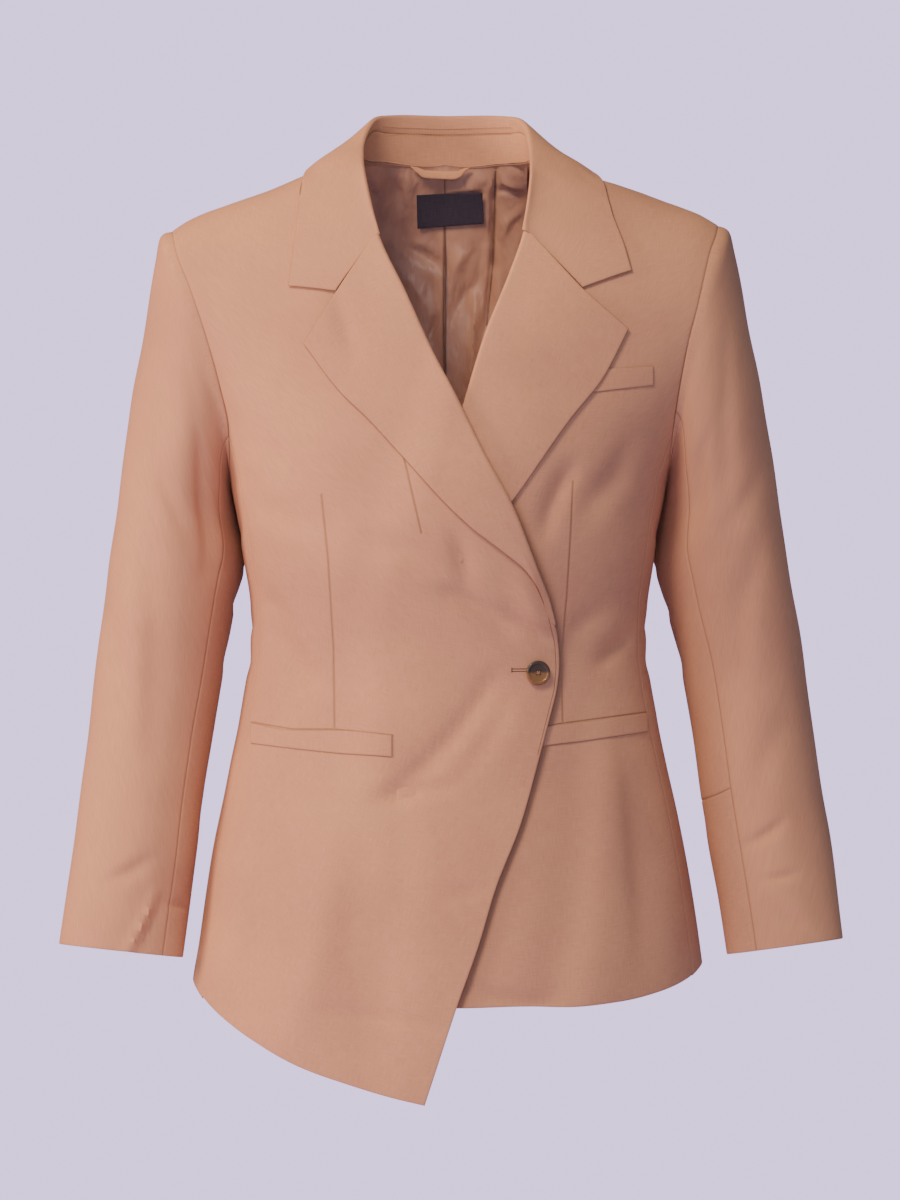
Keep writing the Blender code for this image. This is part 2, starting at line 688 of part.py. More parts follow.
def front_panel(side):
    """Build a front from its edge to the side seam and armhole."""
    edge = EDGE[side]
    low = edge.x[0]
    high = edge.x[-1]
    roll = RIGHT_BREAK if side == RIGHT else LEFT_BREAK
    drop_seam = seam_drops(-side_hem(side, FRONT_SEAM_ANGLE))
    v = 1 - drop_seam / drop_seam[0]
    z_edge = low + (high - low) * v
    inset = ROLL_INSET * smoothstep(z_edge, roll - BREAK_FADE, roll)
    x_edge = edge(z_edge) + side * inset
    x_seam = side * seam_x(side, FRONT, drop_seam)
    start = np.stack([x_edge, drop_at(x_edge, z_edge)], axis=-1)
    end = np.stack([x_seam, drop_seam], axis=-1)
    start[-1, 1] = 0.0
    u = spread(0.0, 1.0, FRONT_COLUMNS)
    x_hem = x_edge[0] * (1 - u) + x_seam[0] * u
    bottom = np.stack([x_hem, -HEM[side](x_hem)], axis=-1)
    x_top = x_edge[-1] * (1 - u) + x_seam[-1] * u
    top = np.stack([x_top, np.zeros_like(x_top)], axis=-1)
    bottom[0] = start[0]
    bottom[-1] = end[0]
    flat = patch(bottom, top, start, end, v)
    x = flat[..., 0]
    drop = flat[..., 1]
    rows = RIGHT_FOLD_ROWS if side == RIGHT else LEFT_FOLD_ROWS
    z = height_at(x, drop)
    out = folds(rows, x, z)
    if side == RIGHT:
        out = out + lap_lift(x, z)
    grid = torso_out(FRONT, x, drop, out)
    name = "right_front" if side == RIGHT else "left_front"
    wall(name, grid, CLOTH, normals=torso_normal(FRONT, x, drop))


def side_panel(side):
    """Build the panel under the arm."""
    gap = SIDE_GAP / side_width(side, UNDERARM)
    around = [turn for turn in ARMHOLE_TURNS if turn >= SIDE_TURN]
    around += [360 - turn for turn in reversed(around[:-1])]
    angles = [turn_angle(turn) for turn in np.radians(around)]
    tops = turn_drop(np.radians(around))
    hems = [-side_hem(side, angle) for angle in angles]
    drop = np.linspace(hems, tops, SIDE_ROWS)
    angle = np.clip(angles, FRONT_SEAM_ANGLE + gap, BACK_SEAM_ANGLE - gap)[None, :]
    grid = torso_ring(side, angle, drop)
    name = "right_side" if side == RIGHT else "left_side"
    wall(name, grid, CLOTH, normals=ring_normal(side, angle, drop))


def neck_drop(x, y):
    """Find the drop at which the back's surface reaches a place of the neck."""
    low = 0.0
    high = 0.1
    for _ in range(40):
        middle = (low + high) / 2
        if torso(BACK, np.array(x), np.array(middle))[1] > y:
            high = middle
        else:
            low = middle
    return high


def neckline(side, angle):
    """Give the back neckline by its angle: x, y and drop, with 0 at the shoulder."""
    x = side * NECK_HALF[side] * math.cos(angle)
    y = NECK_BACK * max(math.sin(angle), 0.0)
    return x, y, neck_drop(x, y)


def back_panel(side):
    """Build a half of the back, from the centre seam to the side seam and armhole."""
    u = spread(0.0, 1.0, BACK_COLUMNS)
    x_centre = side * SIDE_GAP
    neck = [neckline(side, math.pi / 2 * (1 - s)) for s in spread(0.0, 1.0, NECK_COLUMNS)]
    x_rest = spread(neck[-1][0], side * side_width(side, 0.0), BACK_COLUMNS - NECK_COLUMNS + 1)
    x_top = np.concatenate([[x_centre], [p[0] for p in neck[1:]], x_rest[1:]])
    drop_top = np.concatenate([[p[2] for p in neck[:-1]], np.zeros(len(x_rest))])
    drop_seam = seam_drops(-side_hem(side, BACK_SEAM_ANGLE))
    steps = 1 - drop_seam / drop_seam[0]
    x_seam = side * seam_x(side, BACK, drop_seam)
    drop_centre = -BACK_HEM + (drop_top[0] + BACK_HEM) * steps
    share = (x_top - x_top[0]) / (x_top[-1] - x_top[0])
    v = steps[:, None]
    even = u[None, :] * (1 - v) + share[None, :] * v
    x = x_centre + (x_seam[:, None] - x_centre) * even
    straight = drop_centre[:, None] * (1 - even) + drop_seam[:, None] * even
    bend = drop_top - (drop_top[0] * (1 - share) + drop_top[-1] * share)
    drop = np.maximum(straight + bend[None, :] * v ** NECK_FADE, 0.0)
    name = "right_back" if side == RIGHT else "left_back"
    wall(name, torso(BACK, x, drop), CLOTH, normals=torso_normal(BACK, x, drop))


# Lapels

def gorge_turn(side):
    """Give the place on the gorge where the lapel has rolled over and lies flat."""
    gorge = RIGHT_GORGE if side == RIGHT else LEFT_GORGE
    edge = EDGE[side]
    z = gorge[1] - GORGE_GAP
    slope = float(edge(z + 1e-3) - edge(z - 1e-3)) / 2e-3
    away = unit(np.array([1.0, -slope])) * side
    radius = (LAPEL_OUT + CLOTH) / 2
    return float(edge(z)) + away[0] * radius * TURN_PAST, z + away[1] * radius * TURN_PAST


def notch_fade(share, notch):
    """Give how much of a bend at the notch is felt at a share of the way out."""
    return share / notch if share < notch else (1 - share) / (1 - notch)


def lapel(side):
    """Build a lapel, curled over at the roll line and lying on its front."""
    edge = EDGE[side]
    outer_edge = LAPEL_EDGE[side]
    gorge = RIGHT_GORGE if side == RIGHT else LEFT_GORGE
    notch = RIGHT_NOTCH if side == RIGHT else LEFT_NOTCH
    low = RIGHT_BREAK if side == RIGHT else LEFT_BREAK
    z_roll = spread(low, gorge[1] - GORGE_GAP, LAPEL_ROWS)
    x_roll = edge(z_roll)
    slope = (edge(z_roll + 1e-3) - edge(z_roll - 1e-3)) / 2e-3
    away = unit(np.stack([np.ones_like(slope), -slope], axis=-1)) * side
    z_out = spread(outer_edge.x[0], outer_edge.x[-1] - GORGE_GAP, LAPEL_ROWS)
    x_out = outer_edge(z_out)
    out = np.full_like(z_roll, LAPEL_OUT)
    if side == LEFT:
        shown = smoothstep(z_roll, LAPEL_COVERED, LAPEL_SHOWN)
        out = LAPEL_OUT_HIDDEN + (LAPEL_OUT - LAPEL_OUT_HIDDEN) * shown
    radius = (out + CLOTH) / 2
    places = []
    for turn in np.radians(spread(-90, 90, LAPEL_CURL)):
        near = radius * (1 - math.cos(turn))
        x = x_roll + away[:, 0] * near
        z = z_roll + away[:, 1] * near
        places.append((x, z, out - radius + radius * math.sin(turn)))
    x_turn = x_roll + away[:, 0] * radius * TURN_PAST
    z_turn = z_roll + away[:, 1] * radius * TURN_PAST
    at = LAPEL_SHARES[2]
    bend_x = notch[0] - x_turn[-1] * (1 - at) - x_out[-1] * at
    bend_z = notch[1] - GORGE_GAP - z_turn[-1] * (1 - at) - z_out[-1] * at
    fade = spread(0.0, 1.0, LAPEL_ROWS) ** BEND_POWER
    for share in LAPEL_SHARES:
        felt = fade * notch_fade(share, at)
        x = x_turn * (1 - share) + x_out * share + bend_x * felt
        z = z_turn * (1 - share) + z_out * share + bend_z * felt
        places.append((x, z, out))
    grid = np.stack([front_point(side, x, z, lift) for x, z, lift in places], axis=1)
    name = "right_lapel" if side == RIGHT else "left_lapel"
    wall(name, grid, CLOTH, flip=side == RIGHT)


# Collar

def collar_rows():
    """Join both halves of the collar's table and smooth them along the neck."""
    both = list(RIGHT_COLLAR_ROWS) + list(LEFT_COLLAR_ROWS[-2::-1])
    rows = [(k,) + row for k, row in enumerate(both)]
    return curves(("station",) + COLLAR_COLUMNS, rows)


COLLAR = collar_rows()
LAST_STATION = len(RIGHT_COLLAR_ROWS) + len(LEFT_COLLAR_ROWS) - 2


def collar_frame(station):
    """Give the roll point, the leaf's edge, and the ways across and down at a station."""
    value = {name: float(COLLAR[name](station)) for name in COLLAR_COLUMNS}
    roll = np.array([value["roll_x"], value["roll_y"], value["roll_z"]])
    edge = np.array([value["edge_x"], value["edge_y"], value["edge_z"]])
    near = [np.array([float(COLLAR[name](station + step)) for name in COLLAR_COLUMNS[:3]])
            for step in (-NEAR_STATION, NEAR_STATION)]
    tangent = unit(near[1] - near[0])
    tuck = math.radians(value["tuck"])
    down = np.array([0.0, math.sin(tuck), -math.cos(tuck)])
    down = unit(down - tangent * np.dot(down, tangent))
    inward = np.cross(down, tangent)
    return roll, edge, inward, down, tangent, value["inside"]


def clear_of_body(point, out):
    """Keep a point of the leaf clear of the front or back that it lies on."""
    face = FRONT if point[1] < 0 else BACK
    drops = spread(*BODY_DROPS)
    for _ in range(2):
        x = np.full_like(drops, point[0])
        surface = torso(face, x, drops)
        near = np.argmin(np.linalg.norm(surface - point, axis=1))
        normal = torso_normal(face, x[near], drops[near])
        lift = out - np.dot(point - surface[near], normal)
        point = point + normal * max(lift, 0.0)
    return point


def rest_on_body(point, hug):
    """Draw a point of the leaf down to the front, and keep it clear of the body."""
    x, y, z = point
    if y < 0 and z < float(shoulder_height(np.array(x))):
        drop = drop_at(np.array(x), np.array(z))
        surface = float(torso_out(FRONT, np.array(x), drop, np.array(LEAF_OUT))[1])
        y = y * (1 - hug) + surface * hug
    return clear_of_body(np.array([x, y, z]), LEAF_OUT)


def roll_arc(roll, inward, down, turn):
    """Give a point round the collar's roll, from inside the neck over to the leaf."""
    aside = inward * ROLL_RADIUS * math.cos(turn)
    return roll + aside + down * ROLL_RADIUS * (1 - math.sin(turn))


def collar_line(station):
    """Give the collar's section at a station, from inside the neck to the leaf's edge."""
    roll, edge, inward, down, tangent, inside = collar_frame(station)
    from_end = min(station, LAST_STATION - station)
    side = RIGHT if station < LAST_STATION / 2 else LEFT
    hug = 1 - float(smoothstep(from_end, HUG_FULL, HUG_GONE))
    across = np.dot(edge - roll, -inward)
    fall = np.dot(edge - roll, down)
    last = math.pi / 2 + math.atan2(fall, across) - LEAF_RISE
    rolled = roll_arc(roll, inward, down, last)
    x, z = gorge_turn(side)
    met = np.array([x, rolled[1], z + 2 * GORGE_GAP]) - rolled
    met = met * max(0.0, 1 - from_end / NOTCH_STATIONS) ** 2
    line = [roll + inward * ROLL_RADIUS + down * inside]
    for turn in spread(0.0, last, COLLAR_ARC):
        line.append(roll_arc(roll, inward, down, turn) + met * (turn / last) ** 2)
    start = line[-1]
    up = unit(np.cross(tangent, edge - start))
    if np.dot(up, down) > 0:
        up = -up
    notch = RIGHT_NOTCH if side == RIGHT else LEFT_NOTCH
    straight = start * (1 - NOTCH_SHARE) + edge * NOTCH_SHARE
    bend = np.array([notch[0] - straight[0], 0.0, notch[1] - straight[2]])
    bend = bend * max(0.0, 1 - from_end / NOTCH_STATIONS) ** 2
    for share in COLLAR_SHARES:
        bulge = up * LEAF_BULGE * 4 * share * (1 - share)
        point = start + (edge - start) * share + bulge
        point = point + bend * notch_fade(share, NOTCH_SHARE)
        line.append(rest_on_body(point, hug))
    return line


def collar():
    """Build the collar, rolled over from inside the neck to the leaf's edge."""
    lines = [collar_line(k) for k in spread(0.0, LAST_STATION, COLLAR_STATIONS)]
    wall("collar", np.array(lines), CLOTH, flip=True)


def collar_stand():
    """Build the stand between the collar's inside seam and the back neckline."""
    angle_at = Curve(STAND_STATIONS, STAND_ANGLES)
    lines = []
    for station in spread(STAND_START, LAST_STATION - STAND_START, STAND_COLUMNS):
        roll, _, inward, down, _, inside = collar_frame(station)
        side = RIGHT if station < LAST_STATION / 2 else LEFT
        from_end = min(station, LAST_STATION - station)
        gap = STAND_GAP + STAND_END_GAP * (1 - float(smoothstep(from_end, STAND_EVEN, STAND_WIDE)))
        top = roll + inward * ROLL_RADIUS + down * (inside + gap)
        angle = math.radians(float(angle_at(from_end)))
        x, y, drop = neckline(side, angle)
        foot = np.array([x, y, float(height_at(np.array(x), np.array(drop)))])
        foot[2] += STAND_CLEAR
        if angle < 0:
            foot[1] = roll[1] + STAND_GAP
        lines.append([top + (foot - top) * share for share in spread(0.0, 1.0, STAND_ROWS)])
    wall("collar_stand", np.array(lines), CLOTH, flip=False)


# Sleeves

def armhole(side, turn):
    """Give the armhole's edge by its turn from the shoulder, forward and down."""
    drop = turn_drop(turn)
    x = side * side_width(side, drop)
    front = torso(FRONT, x, drop)
    back = torso(BACK, x, drop)
    return np.where((np.sin(turn) >= 0)[..., None], front, back)


def sleeve_ring(side, along, turn):
    """Give a ring of the sleeve by its table row."""
    value = {name: SLEEVE[side][name](along) for name in SLEEVE_COLUMNS[1:]}
    share = (1 + np.cos(turn)) / 2
    x = value["inner_x"] + (value["outer_x"] - value["inner_x"]) * share
    x = x - value["bow"] * np.sin(turn) ** 2
    z = value["inner_z"] + (value["outer_z"] - value["inner_z"]) * share
    y = value["middle_y"] - value["half_depth"] * np.sin(turn)
    y = y + value["inner_back"] * (1 - share)
    return np.stack([side * x, y, z], axis=-1)


def sleeve_point(side, along, turn):
    """Give the sleeve's outer face, set to the armhole and settling into its rings."""
    ring = sleeve_ring(side, along, turn)
    start = sleeve_ring(side, np.zeros_like(along), turn)
    seam = armhole(side, turn) + np.array([side * SLEEVE_SHIFT, 0.0, 0.0])
    settle = np.clip(1 - along / SLEEVE_SETTLES, 0.0, 1.0) ** 2
    return ring + (seam - start) * settle[..., None]


def sleeve_normal(side, along, turn):
    """Give the way out from the sleeve."""
    before = sleeve_point(side, along, turn - SLEEVE_NEAR)
    around = sleeve_point(side, along, turn + SLEEVE_NEAR) - before
    low = np.maximum(along - NEAR_ALONG, 0.0)
    down = sleeve_point(side, low + 2 * NEAR_ALONG, turn) - sleeve_point(side, low, turn)
    return unit(np.cross(around, down)) * side


def sleeve_turns(first, last):
    """Give the columns between two seams, at the armhole's own divisions."""
    circle = set(ARMHOLE_TURNS) | {-turn for turn in ARMHOLE_TURNS}
    circle |= {360 - turn for turn in ARMHOLE_TURNS}
    inside = [turn for turn in sorted(circle) if first < turn < last]
    gap = math.degrees(SEAM / 2 / SLEEVE_RADIUS)
    return np.radians([first + gap] + inside + [last - gap])


def sleeve_piece(name, side, first, last, start=0.0, end=1.0, rise=(0.0, 0.0)):
    """Build a part of a sleeve between two seams and two places along it."""
    turns = sleeve_turns(first, last)
    even = spread(0.0, 1.0, SLEEVE_RINGS)
    steps = even * (RINGS_CLOSE + (1 - RINGS_CLOSE) * even)
    inside = steps[(steps > start + RING_APART) & (steps < end - RING_APART)]
    if start == 0.0:
        inside = steps[(steps > 0.0) & (steps < end - RING_APART)]
    share = (np.concatenate([[start], inside, [end]]) - start) / (end - start)
    around = (turns - turns[0]) / (turns[-1] - turns[0])
    lows = start + rise[0] * around ** 2
    highs = end + rise[1] * around ** 2
    along = lows[None, :] + (highs - lows)[None, :] * share[:, None]
    turns = np.broadcast_to(turns, along.shape)
    normals = sleeve_normal(side, along, turns)
    wall(name, sleeve_point(side, along, turns), CLOTH, normals=normals)


def sleeves():
    """Build both two-piece sleeves; the left under sleeve is pieced."""
    front = RIGHT_FRONT_SLEEVE_SEAM
    back = BACK_SLEEVE_SEAM
    sleeve_piece("right_top_sleeve", RIGHT, back - 360, front)
    sleeve_piece("right_under_sleeve", RIGHT, front, back)
    front = LEFT_FRONT_SLEEVE_SEAM
    sleeve_piece("left_top_sleeve", LEFT, back - 360, front)
    rise = (0.0, PIECING_RISE)
    sleeve_piece("left_under_sleeve", LEFT, front, back, end=PIECING_SEAM, rise=rise)
    start = PIECING_SEAM + 2 * SEAM / SLEEVE_LENGTH
    rise = (PIECING_RISE, 0.0)
    sleeve_piece("left_under_sleeve_lower", LEFT, front, back, start=start, rise=rise)


# Pockets, lining and trim

def welt(name, side, rows):
    """Build a welt, made from its front's points, moved out."""
    edges = curves(WELT_COLUMNS, rows)
    x = spread(rows[0][0], rows[-1][0], WELT_ACROSS)
    top = edges["top"](x)
    bottom = edges["bottom"](x)
    heights = [bottom + (top - bottom) * share for share in (0.0, 0.5, 1.0)]
    lines = [front_point(side, x, z, WELT_OUT + CLOTH) for z in heights]
    wall(name, np.stack(lines), CLOTH, flip=side == RIGHT)


def lining_point(x, drop, out):
    """Give a point on the lining's face, with its pleat standing into the body."""
    pleat = PLEAT_DEPTH * np.exp(-(x / PLEAT_WIDTH) ** 2) * smoothstep(drop, PLEAT_STARTS, PLEAT_FULL)
    behind = CLOTH + LINING_BEHIND + LINING + pleat + out
    return torso_out(BACK, x, drop, -behind)


def back_lining():
    """Build the lining behind the neck, with its centre pleat."""
    half = np.array(LINING_HALF_COLUMNS)
    x_top = np.concatenate([-half[::-1], half[1:]])
    neck = NECK_BACK - LINING_IN
    drops = []
    for x in x_top:
        y = neck * math.sqrt(1 - (x / (NECK_RIGHT - LINING_ASIDE)) ** 2)
        drops.append(neck_drop(x, y) + LINING_IN)
    steps = spread(0.0, 1.0, LINING_STEPS)[:, None] ** LINING_SPACING
    x = x_top[None, :] * (1 + (LINING_HALF / half[-1] - 1) * steps)
    drop = np.array(drops)[None, :] * (1 - steps) + LINING_LOW * steps
    grid = lining_point(x, drop, np.zeros_like(x))
    wall("back_lining", grid, LINING, ROSE, 0.45, flip=True)


def neck_label():
    """Build the bare label, made from the lining's points, moved out."""
    corners = np.array(LABEL_CORNERS)
    u = spread(0.0, 1.0, LABEL_COLUMNS)[None, :, None]
    v = spread(0.0, 1.0, LABEL_ROWS)[:, None, None]
    top = corners[0] * (1 - u) + corners[1] * u
    bottom = corners[3] * (1 - u) + corners[2] * u
    flat = top * (1 - v) + bottom * v
    x = flat[..., 0]
    drop = drop_at(x, flat[..., 1])
    grid = lining_point(x, drop, np.full_like(x, WELT_OUT + LABEL_THICK))
    wall("neck_label", grid, LABEL_THICK, INK, 0.7, flip=True)


def hanging_loop():
    """Build the strip sewn into the neck seam to hang the blazer by."""
    x = spread(LOOP_LEFT, LOOP_RIGHT, LOOP_COLUMNS)
    heights = spread(LOOP_TOP, LOOP_LOW, LOOP_ROWS)
    lines = []
    for z in heights:
        low = (LOOP_TOP - z) / (LOOP_TOP - LOOP_LOW)
        y = NECK_BACK * np.sqrt(1 - (x / NECK_RIGHT) ** 2) - LOOP_FORWARD - LOOP_THICK
        y = y - LOOP_LEAN * low
        lines.append(np.stack([x, y, np.full_like(x, z)], axis=-1))
    wall("hanging_loop", np.stack(lines), LOOP_THICK, flip=True)


def button():
    """Turn the button and set it on the lap, facing out from the cloth."""
    at = front_point(RIGHT, np.array(BUTTON_X), np.array(BUTTON_Z), np.array(BUTTON_OUT))
    above = front_point(RIGHT, np.array(BUTTON_X), np.array(BUTTON_Z), np.array(CLEAR_OUT))
    out = unit(above - at)
    across = unit(np.cross(out, np.array([0.0, 0.0, 1.0])))
    up = np.cross(across, out)
    points = []
    for share, height in BUTTON_PROFILE:
        for k in range(BUTTON_SIDES):
            turn = 2 * math.pi * k / BUTTON_SIDES
            around = across * math.cos(turn) + up * math.sin(turn)
            points.append(at + around * BUTTON_RADIUS * share + out * height)
    faces = []
    for ring in range(len(BUTTON_PROFILE) - 1):
        for k in range(BUTTON_SIDES):
            a = ring * BUTTON_SIDES + k
            b = ring * BUTTON_SIDES + (k + 1) % BUTTON_SIDES
            faces.append((a, b, b + BUTTON_SIDES, a + BUTTON_SIDES))
    last = (len(BUTTON_PROFILE) - 1) * BUTTON_SIDES
    faces.append(tuple(range(BUTTON_SIDES - 1, -1, -1)))
    faces.append(tuple(range(last, last + BUTTON_SIDES)))
    finish_mesh("button", points, faces, HORN, 0.35)


def main():
    for thing in list(bpy.data.objects):
        bpy.data.objects.remove(thing, do_unlink=True)
    for side in (RIGHT, LEFT):
        front_panel(side)
        side_panel(side)
        back_panel(side)
        lapel(side)
    collar()
    collar_stand()
    sleeves()
    welt("right_pocket_welt", RIGHT, RIGHT_WELT_ROWS)
    welt("left_pocket_welt", LEFT, LEFT_WELT_ROWS)
    welt("chest_welt", LEFT, CHEST_WELT_ROWS)
    back_lining()
    neck_label()
    hanging_loop()
    button()


main()
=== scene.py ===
"""Wrap blazer with one button, in its cloth, for the studio.

Metres, +Z up. The front faces -Y and the wearer's right side lies at -X. The panels are
thin shells on the frame's own forms, worked out from the same tables, with finer folds.
"""

import math

import bmesh
import bpy
import numpy as np
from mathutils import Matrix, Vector


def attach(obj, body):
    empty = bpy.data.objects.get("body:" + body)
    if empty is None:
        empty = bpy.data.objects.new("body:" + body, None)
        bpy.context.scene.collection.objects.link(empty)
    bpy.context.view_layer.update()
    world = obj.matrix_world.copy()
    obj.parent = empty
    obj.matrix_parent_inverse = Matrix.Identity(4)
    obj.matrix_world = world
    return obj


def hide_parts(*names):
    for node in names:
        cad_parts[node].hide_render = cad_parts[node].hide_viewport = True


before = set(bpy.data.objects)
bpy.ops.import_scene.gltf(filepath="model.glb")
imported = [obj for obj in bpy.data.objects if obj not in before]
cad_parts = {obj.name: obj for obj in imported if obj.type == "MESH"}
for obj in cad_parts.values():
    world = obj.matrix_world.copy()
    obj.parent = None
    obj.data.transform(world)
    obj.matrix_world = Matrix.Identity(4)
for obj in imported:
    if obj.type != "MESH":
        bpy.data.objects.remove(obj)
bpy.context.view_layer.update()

bl_info = {
    "name": "Wrap blazer",
    "version": (1, 0, 0),
    "blender": (4, 5, 0),
    "location": "View3D > Sidebar > Blazer",
    "description": "Makes the cloth, trim and studio of a wrap blazer",
    "category": "Object",
}

# Cloth and gaps
CLOTH = 0.0012
LINING = 0.001
SHOULDER_GAP = 0.0005
FRONT = -1.0
BACK = 1.0
RIGHT = -1.0
LEFT = 1.0

# Torso: the oval sections, and the armhole that cuts them above the underarm
UNDERARM = 0.254
SQUARENESS = 2.3
ARMHOLE_FRONT = 0.062
ARMHOLE_BACK = 0.068
BODY_COLUMNS = ("drop", "right", "left", "front", "back")
BODY_ROWS = (
    (0.0, 0.2247, 0.2247, 0.0, 0.0),
    (0.0012, 0.2246, 0.2246, 0.012, 0.014),
    (0.004, 0.2243, 0.2242, 0.022, 0.028),
    (0.01, 0.2235, 0.2232, 0.034, 0.045),
    (0.03, 0.22, 0.2182, 0.053, 0.07),
    (0.06, 0.2115, 0.2128, 0.072, 0.086),
    (0.09, 0.2035, 0.2075, 0.0865, 0.095),
    (0.12, 0.1957, 0.201, 0.098, 0.1005),
    (0.17, 0.1843, 0.1925, 0.113, 0.104),
    (0.205, 0.178, 0.1878, 0.1215, 0.106),
    (0.254, 0.1765, 0.1828, 0.126, 0.103),
    (0.285, 0.171, 0.177, 0.125, 0.099),
    (0.32, 0.1655, 0.172, 0.1205, 0.093),
    (0.36, 0.16, 0.1665, 0.1125, 0.085),
    (0.394, 0.1605, 0.166, 0.107, 0.0805),
    (0.42, 0.164, 0.169, 0.1055, 0.081),
    (0.45, 0.169, 0.1745, 0.108, 0.086),
    (0.49, 0.178, 0.1835, 0.114, 0.095),
    (0.53, 0.1863, 0.1925, 0.121, 0.104),
    (0.58, 0.1955, 0.202, 0.13, 0.113),
    (0.63, 0.202, 0.2093, 0.137, 0.119),
    (0.665, 0.2075, 0.2135, 0.141, 0.122),
    (0.7, 0.2105, 0.217, 0.144, 0.124),
    (0.78, 0.215, 0.221, 0.149, 0.127),
)
SHOULDER_COLUMNS = ("out", "right", "left")
SHOULDER_ROWS = (
    (0.0, 0.035, 0.035),
    (0.04, 0.024, 0.024),
    (0.066, 0.012, 0.012),
    (0.11, -0.001, -0.001),
    (0.1435, -0.0145, -0.0115),
    (0.178, -0.0271, -0.0238),
    (0.209, -0.0394, -0.035),
    (0.2247, -0.049, -0.0443),
    (0.24, -0.059, -0.054),
)

# Front edges: the roll line from the neck to the break, then the edge to the hem
EDGE_COLUMNS = ("z", "x")
RIGHT_EDGE_ROWS = (
    (0.012, -0.0664),
    (-0.0049, -0.0648),
    (-0.032, -0.0595),
    (-0.0533, -0.0537),
    (-0.1017, -0.0312),
    (-0.1492, -0.0098),
    (-0.1993, 0.0156),
    (-0.2329, 0.032),
    (-0.2722, 0.0533),
    (-0.3247, 0.0738),
    (-0.3559, 0.0851),
    (-0.3895, 0.0913),
    (-0.405, 0.0921),
    (-0.4239, 0.0903),
    (-0.4477, 0.0849),
    (-0.4789, 0.0771),
    (-0.5363, 0.0615),
    (-0.5896, 0.041),
    (-0.6339, 0.0279),
    (-0.6855, 0.0098),
    (-0.743, -0.009),
    (-0.766, -0.0165),
)
LEFT_EDGE_ROWS = (
    (0.012, 0.069),
    (-0.0025, 0.0693),
    (-0.0271, 0.0672),
    (-0.05, 0.064),
    (-0.0845, 0.0525),
    (-0.1337, 0.0328),
    (-0.1894, 0.0156),
    (-0.254, -0.004),
    (-0.32, -0.025),
    (-0.372, -0.04),
    (-0.42, -0.043),
    (-0.5, -0.04),
    (-0.6, -0.033),
    (-0.6863, -0.0246),
)
HEM_COLUMNS = ("x", "z")
RIGHT_HEM_ROWS = (
    (-0.22, -0.658),
    (-0.2075, -0.6665),
    (-0.1986, -0.679),
    (-0.1845, -0.694),
    (-0.1566, -0.714),
    (-0.117, -0.7355),
    (-0.077, -0.7495),
    (-0.0418, -0.76),
    (-0.0165, -0.766),
)
LEFT_HEM_ROWS = (
    (-0.0246, -0.6863),
    (0.0115, -0.6863),
    (0.0713, -0.6847),
    (0.1017, -0.6855),
    (0.1427, -0.6814),
    (0.177, -0.6732),
    (0.2001, -0.6626),
    (0.2124, -0.651),
    (0.225, -0.645),
)
SIDE_HEM = {RIGHT: -0.665, LEFT: -0.651}
BACK_HEM = -0.66
NECK_HALF = {RIGHT: 0.0695, LEFT: 0.0725}
NECK_BACK = 0.066

# The lap, and the lapels that fold back over the fronts
LAP_LIFT = 0.0056
LAP_BEGINS = 0.05
LAP_FULL = 0.006
ROLL_INSET = 0.0046
BREAK = {RIGHT: -0.372, LEFT: -0.365}
BREAK_FADE = 0.03
LAPEL_OUT = 0.0044
LAPEL_OUT_HIDDEN = 0.0026
LAPEL_COVERED = -0.215
LAPEL_SHOWN = -0.15
GORGE_GAP = 0.002
GORGE = {RIGHT: (-0.0537, -0.0533), LEFT: (0.064, -0.05)}
NOTCH = {RIGHT: (-0.0894, -0.1009), LEFT: (0.1123, -0.0984)}
RIGHT_LAPEL_ROWS = (
    (-0.1427, -0.1156),
    (-0.1829, -0.0853),
    (-0.205, -0.0623),
    (-0.2329, -0.0369),
    (-0.2895, 0.0172),
    (-0.3124, 0.0467),
    (-0.3288, 0.0656),
    (-0.348, 0.077),
    (-0.364, 0.0815),
)
LEFT_LAPEL_ROWS = (
    (-0.1304, 0.15),
    (-0.1722, 0.1279),
    (-0.205, 0.1017),
    (-0.2739, 0.0533),
    (-0.315, 0.02),
    (-0.348, -0.013),
    (-0.36, -0.029),
)

# Collar: the roll line and the leaf's edge, from each gorge to the centre back
COLLAR_COLUMNS = (
    "roll_x", "roll_y", "roll_z", "edge_x", "edge_y", "edge_z", "tuck", "inside")
RIGHT_COLLAR_ROWS = (
    (-0.056, -0.078, -0.053, -0.1287, -0.085, -0.0951, 85, 0.004),
    (-0.062, -0.068, -0.032, -0.125, -0.075, -0.068, 72, 0.004),
    (-0.0672, -0.047, -0.0049, -0.1212, -0.05, -0.036, 50, 0.004),
    (-0.069, -0.027, 0.01, -0.1178, -0.024, -0.011, 28, 0.004),
    (-0.0688, -0.004, 0.0225, -0.1135, 0.004, 0.0015, 10, 0.004),
    (-0.0645, 0.022, 0.037, -0.103, 0.038, -0.003, 0, 0.006),
    (-0.056, 0.044, 0.0465, -0.083, 0.061, -0.011, 0, 0.013),
    (-0.033, 0.061, 0.048, -0.048, 0.0755, -0.013, 0, 0.0155),
    (0.0, 0.067, 0.047, 0.0, 0.081, -0.0125, 0, 0.0155),
)
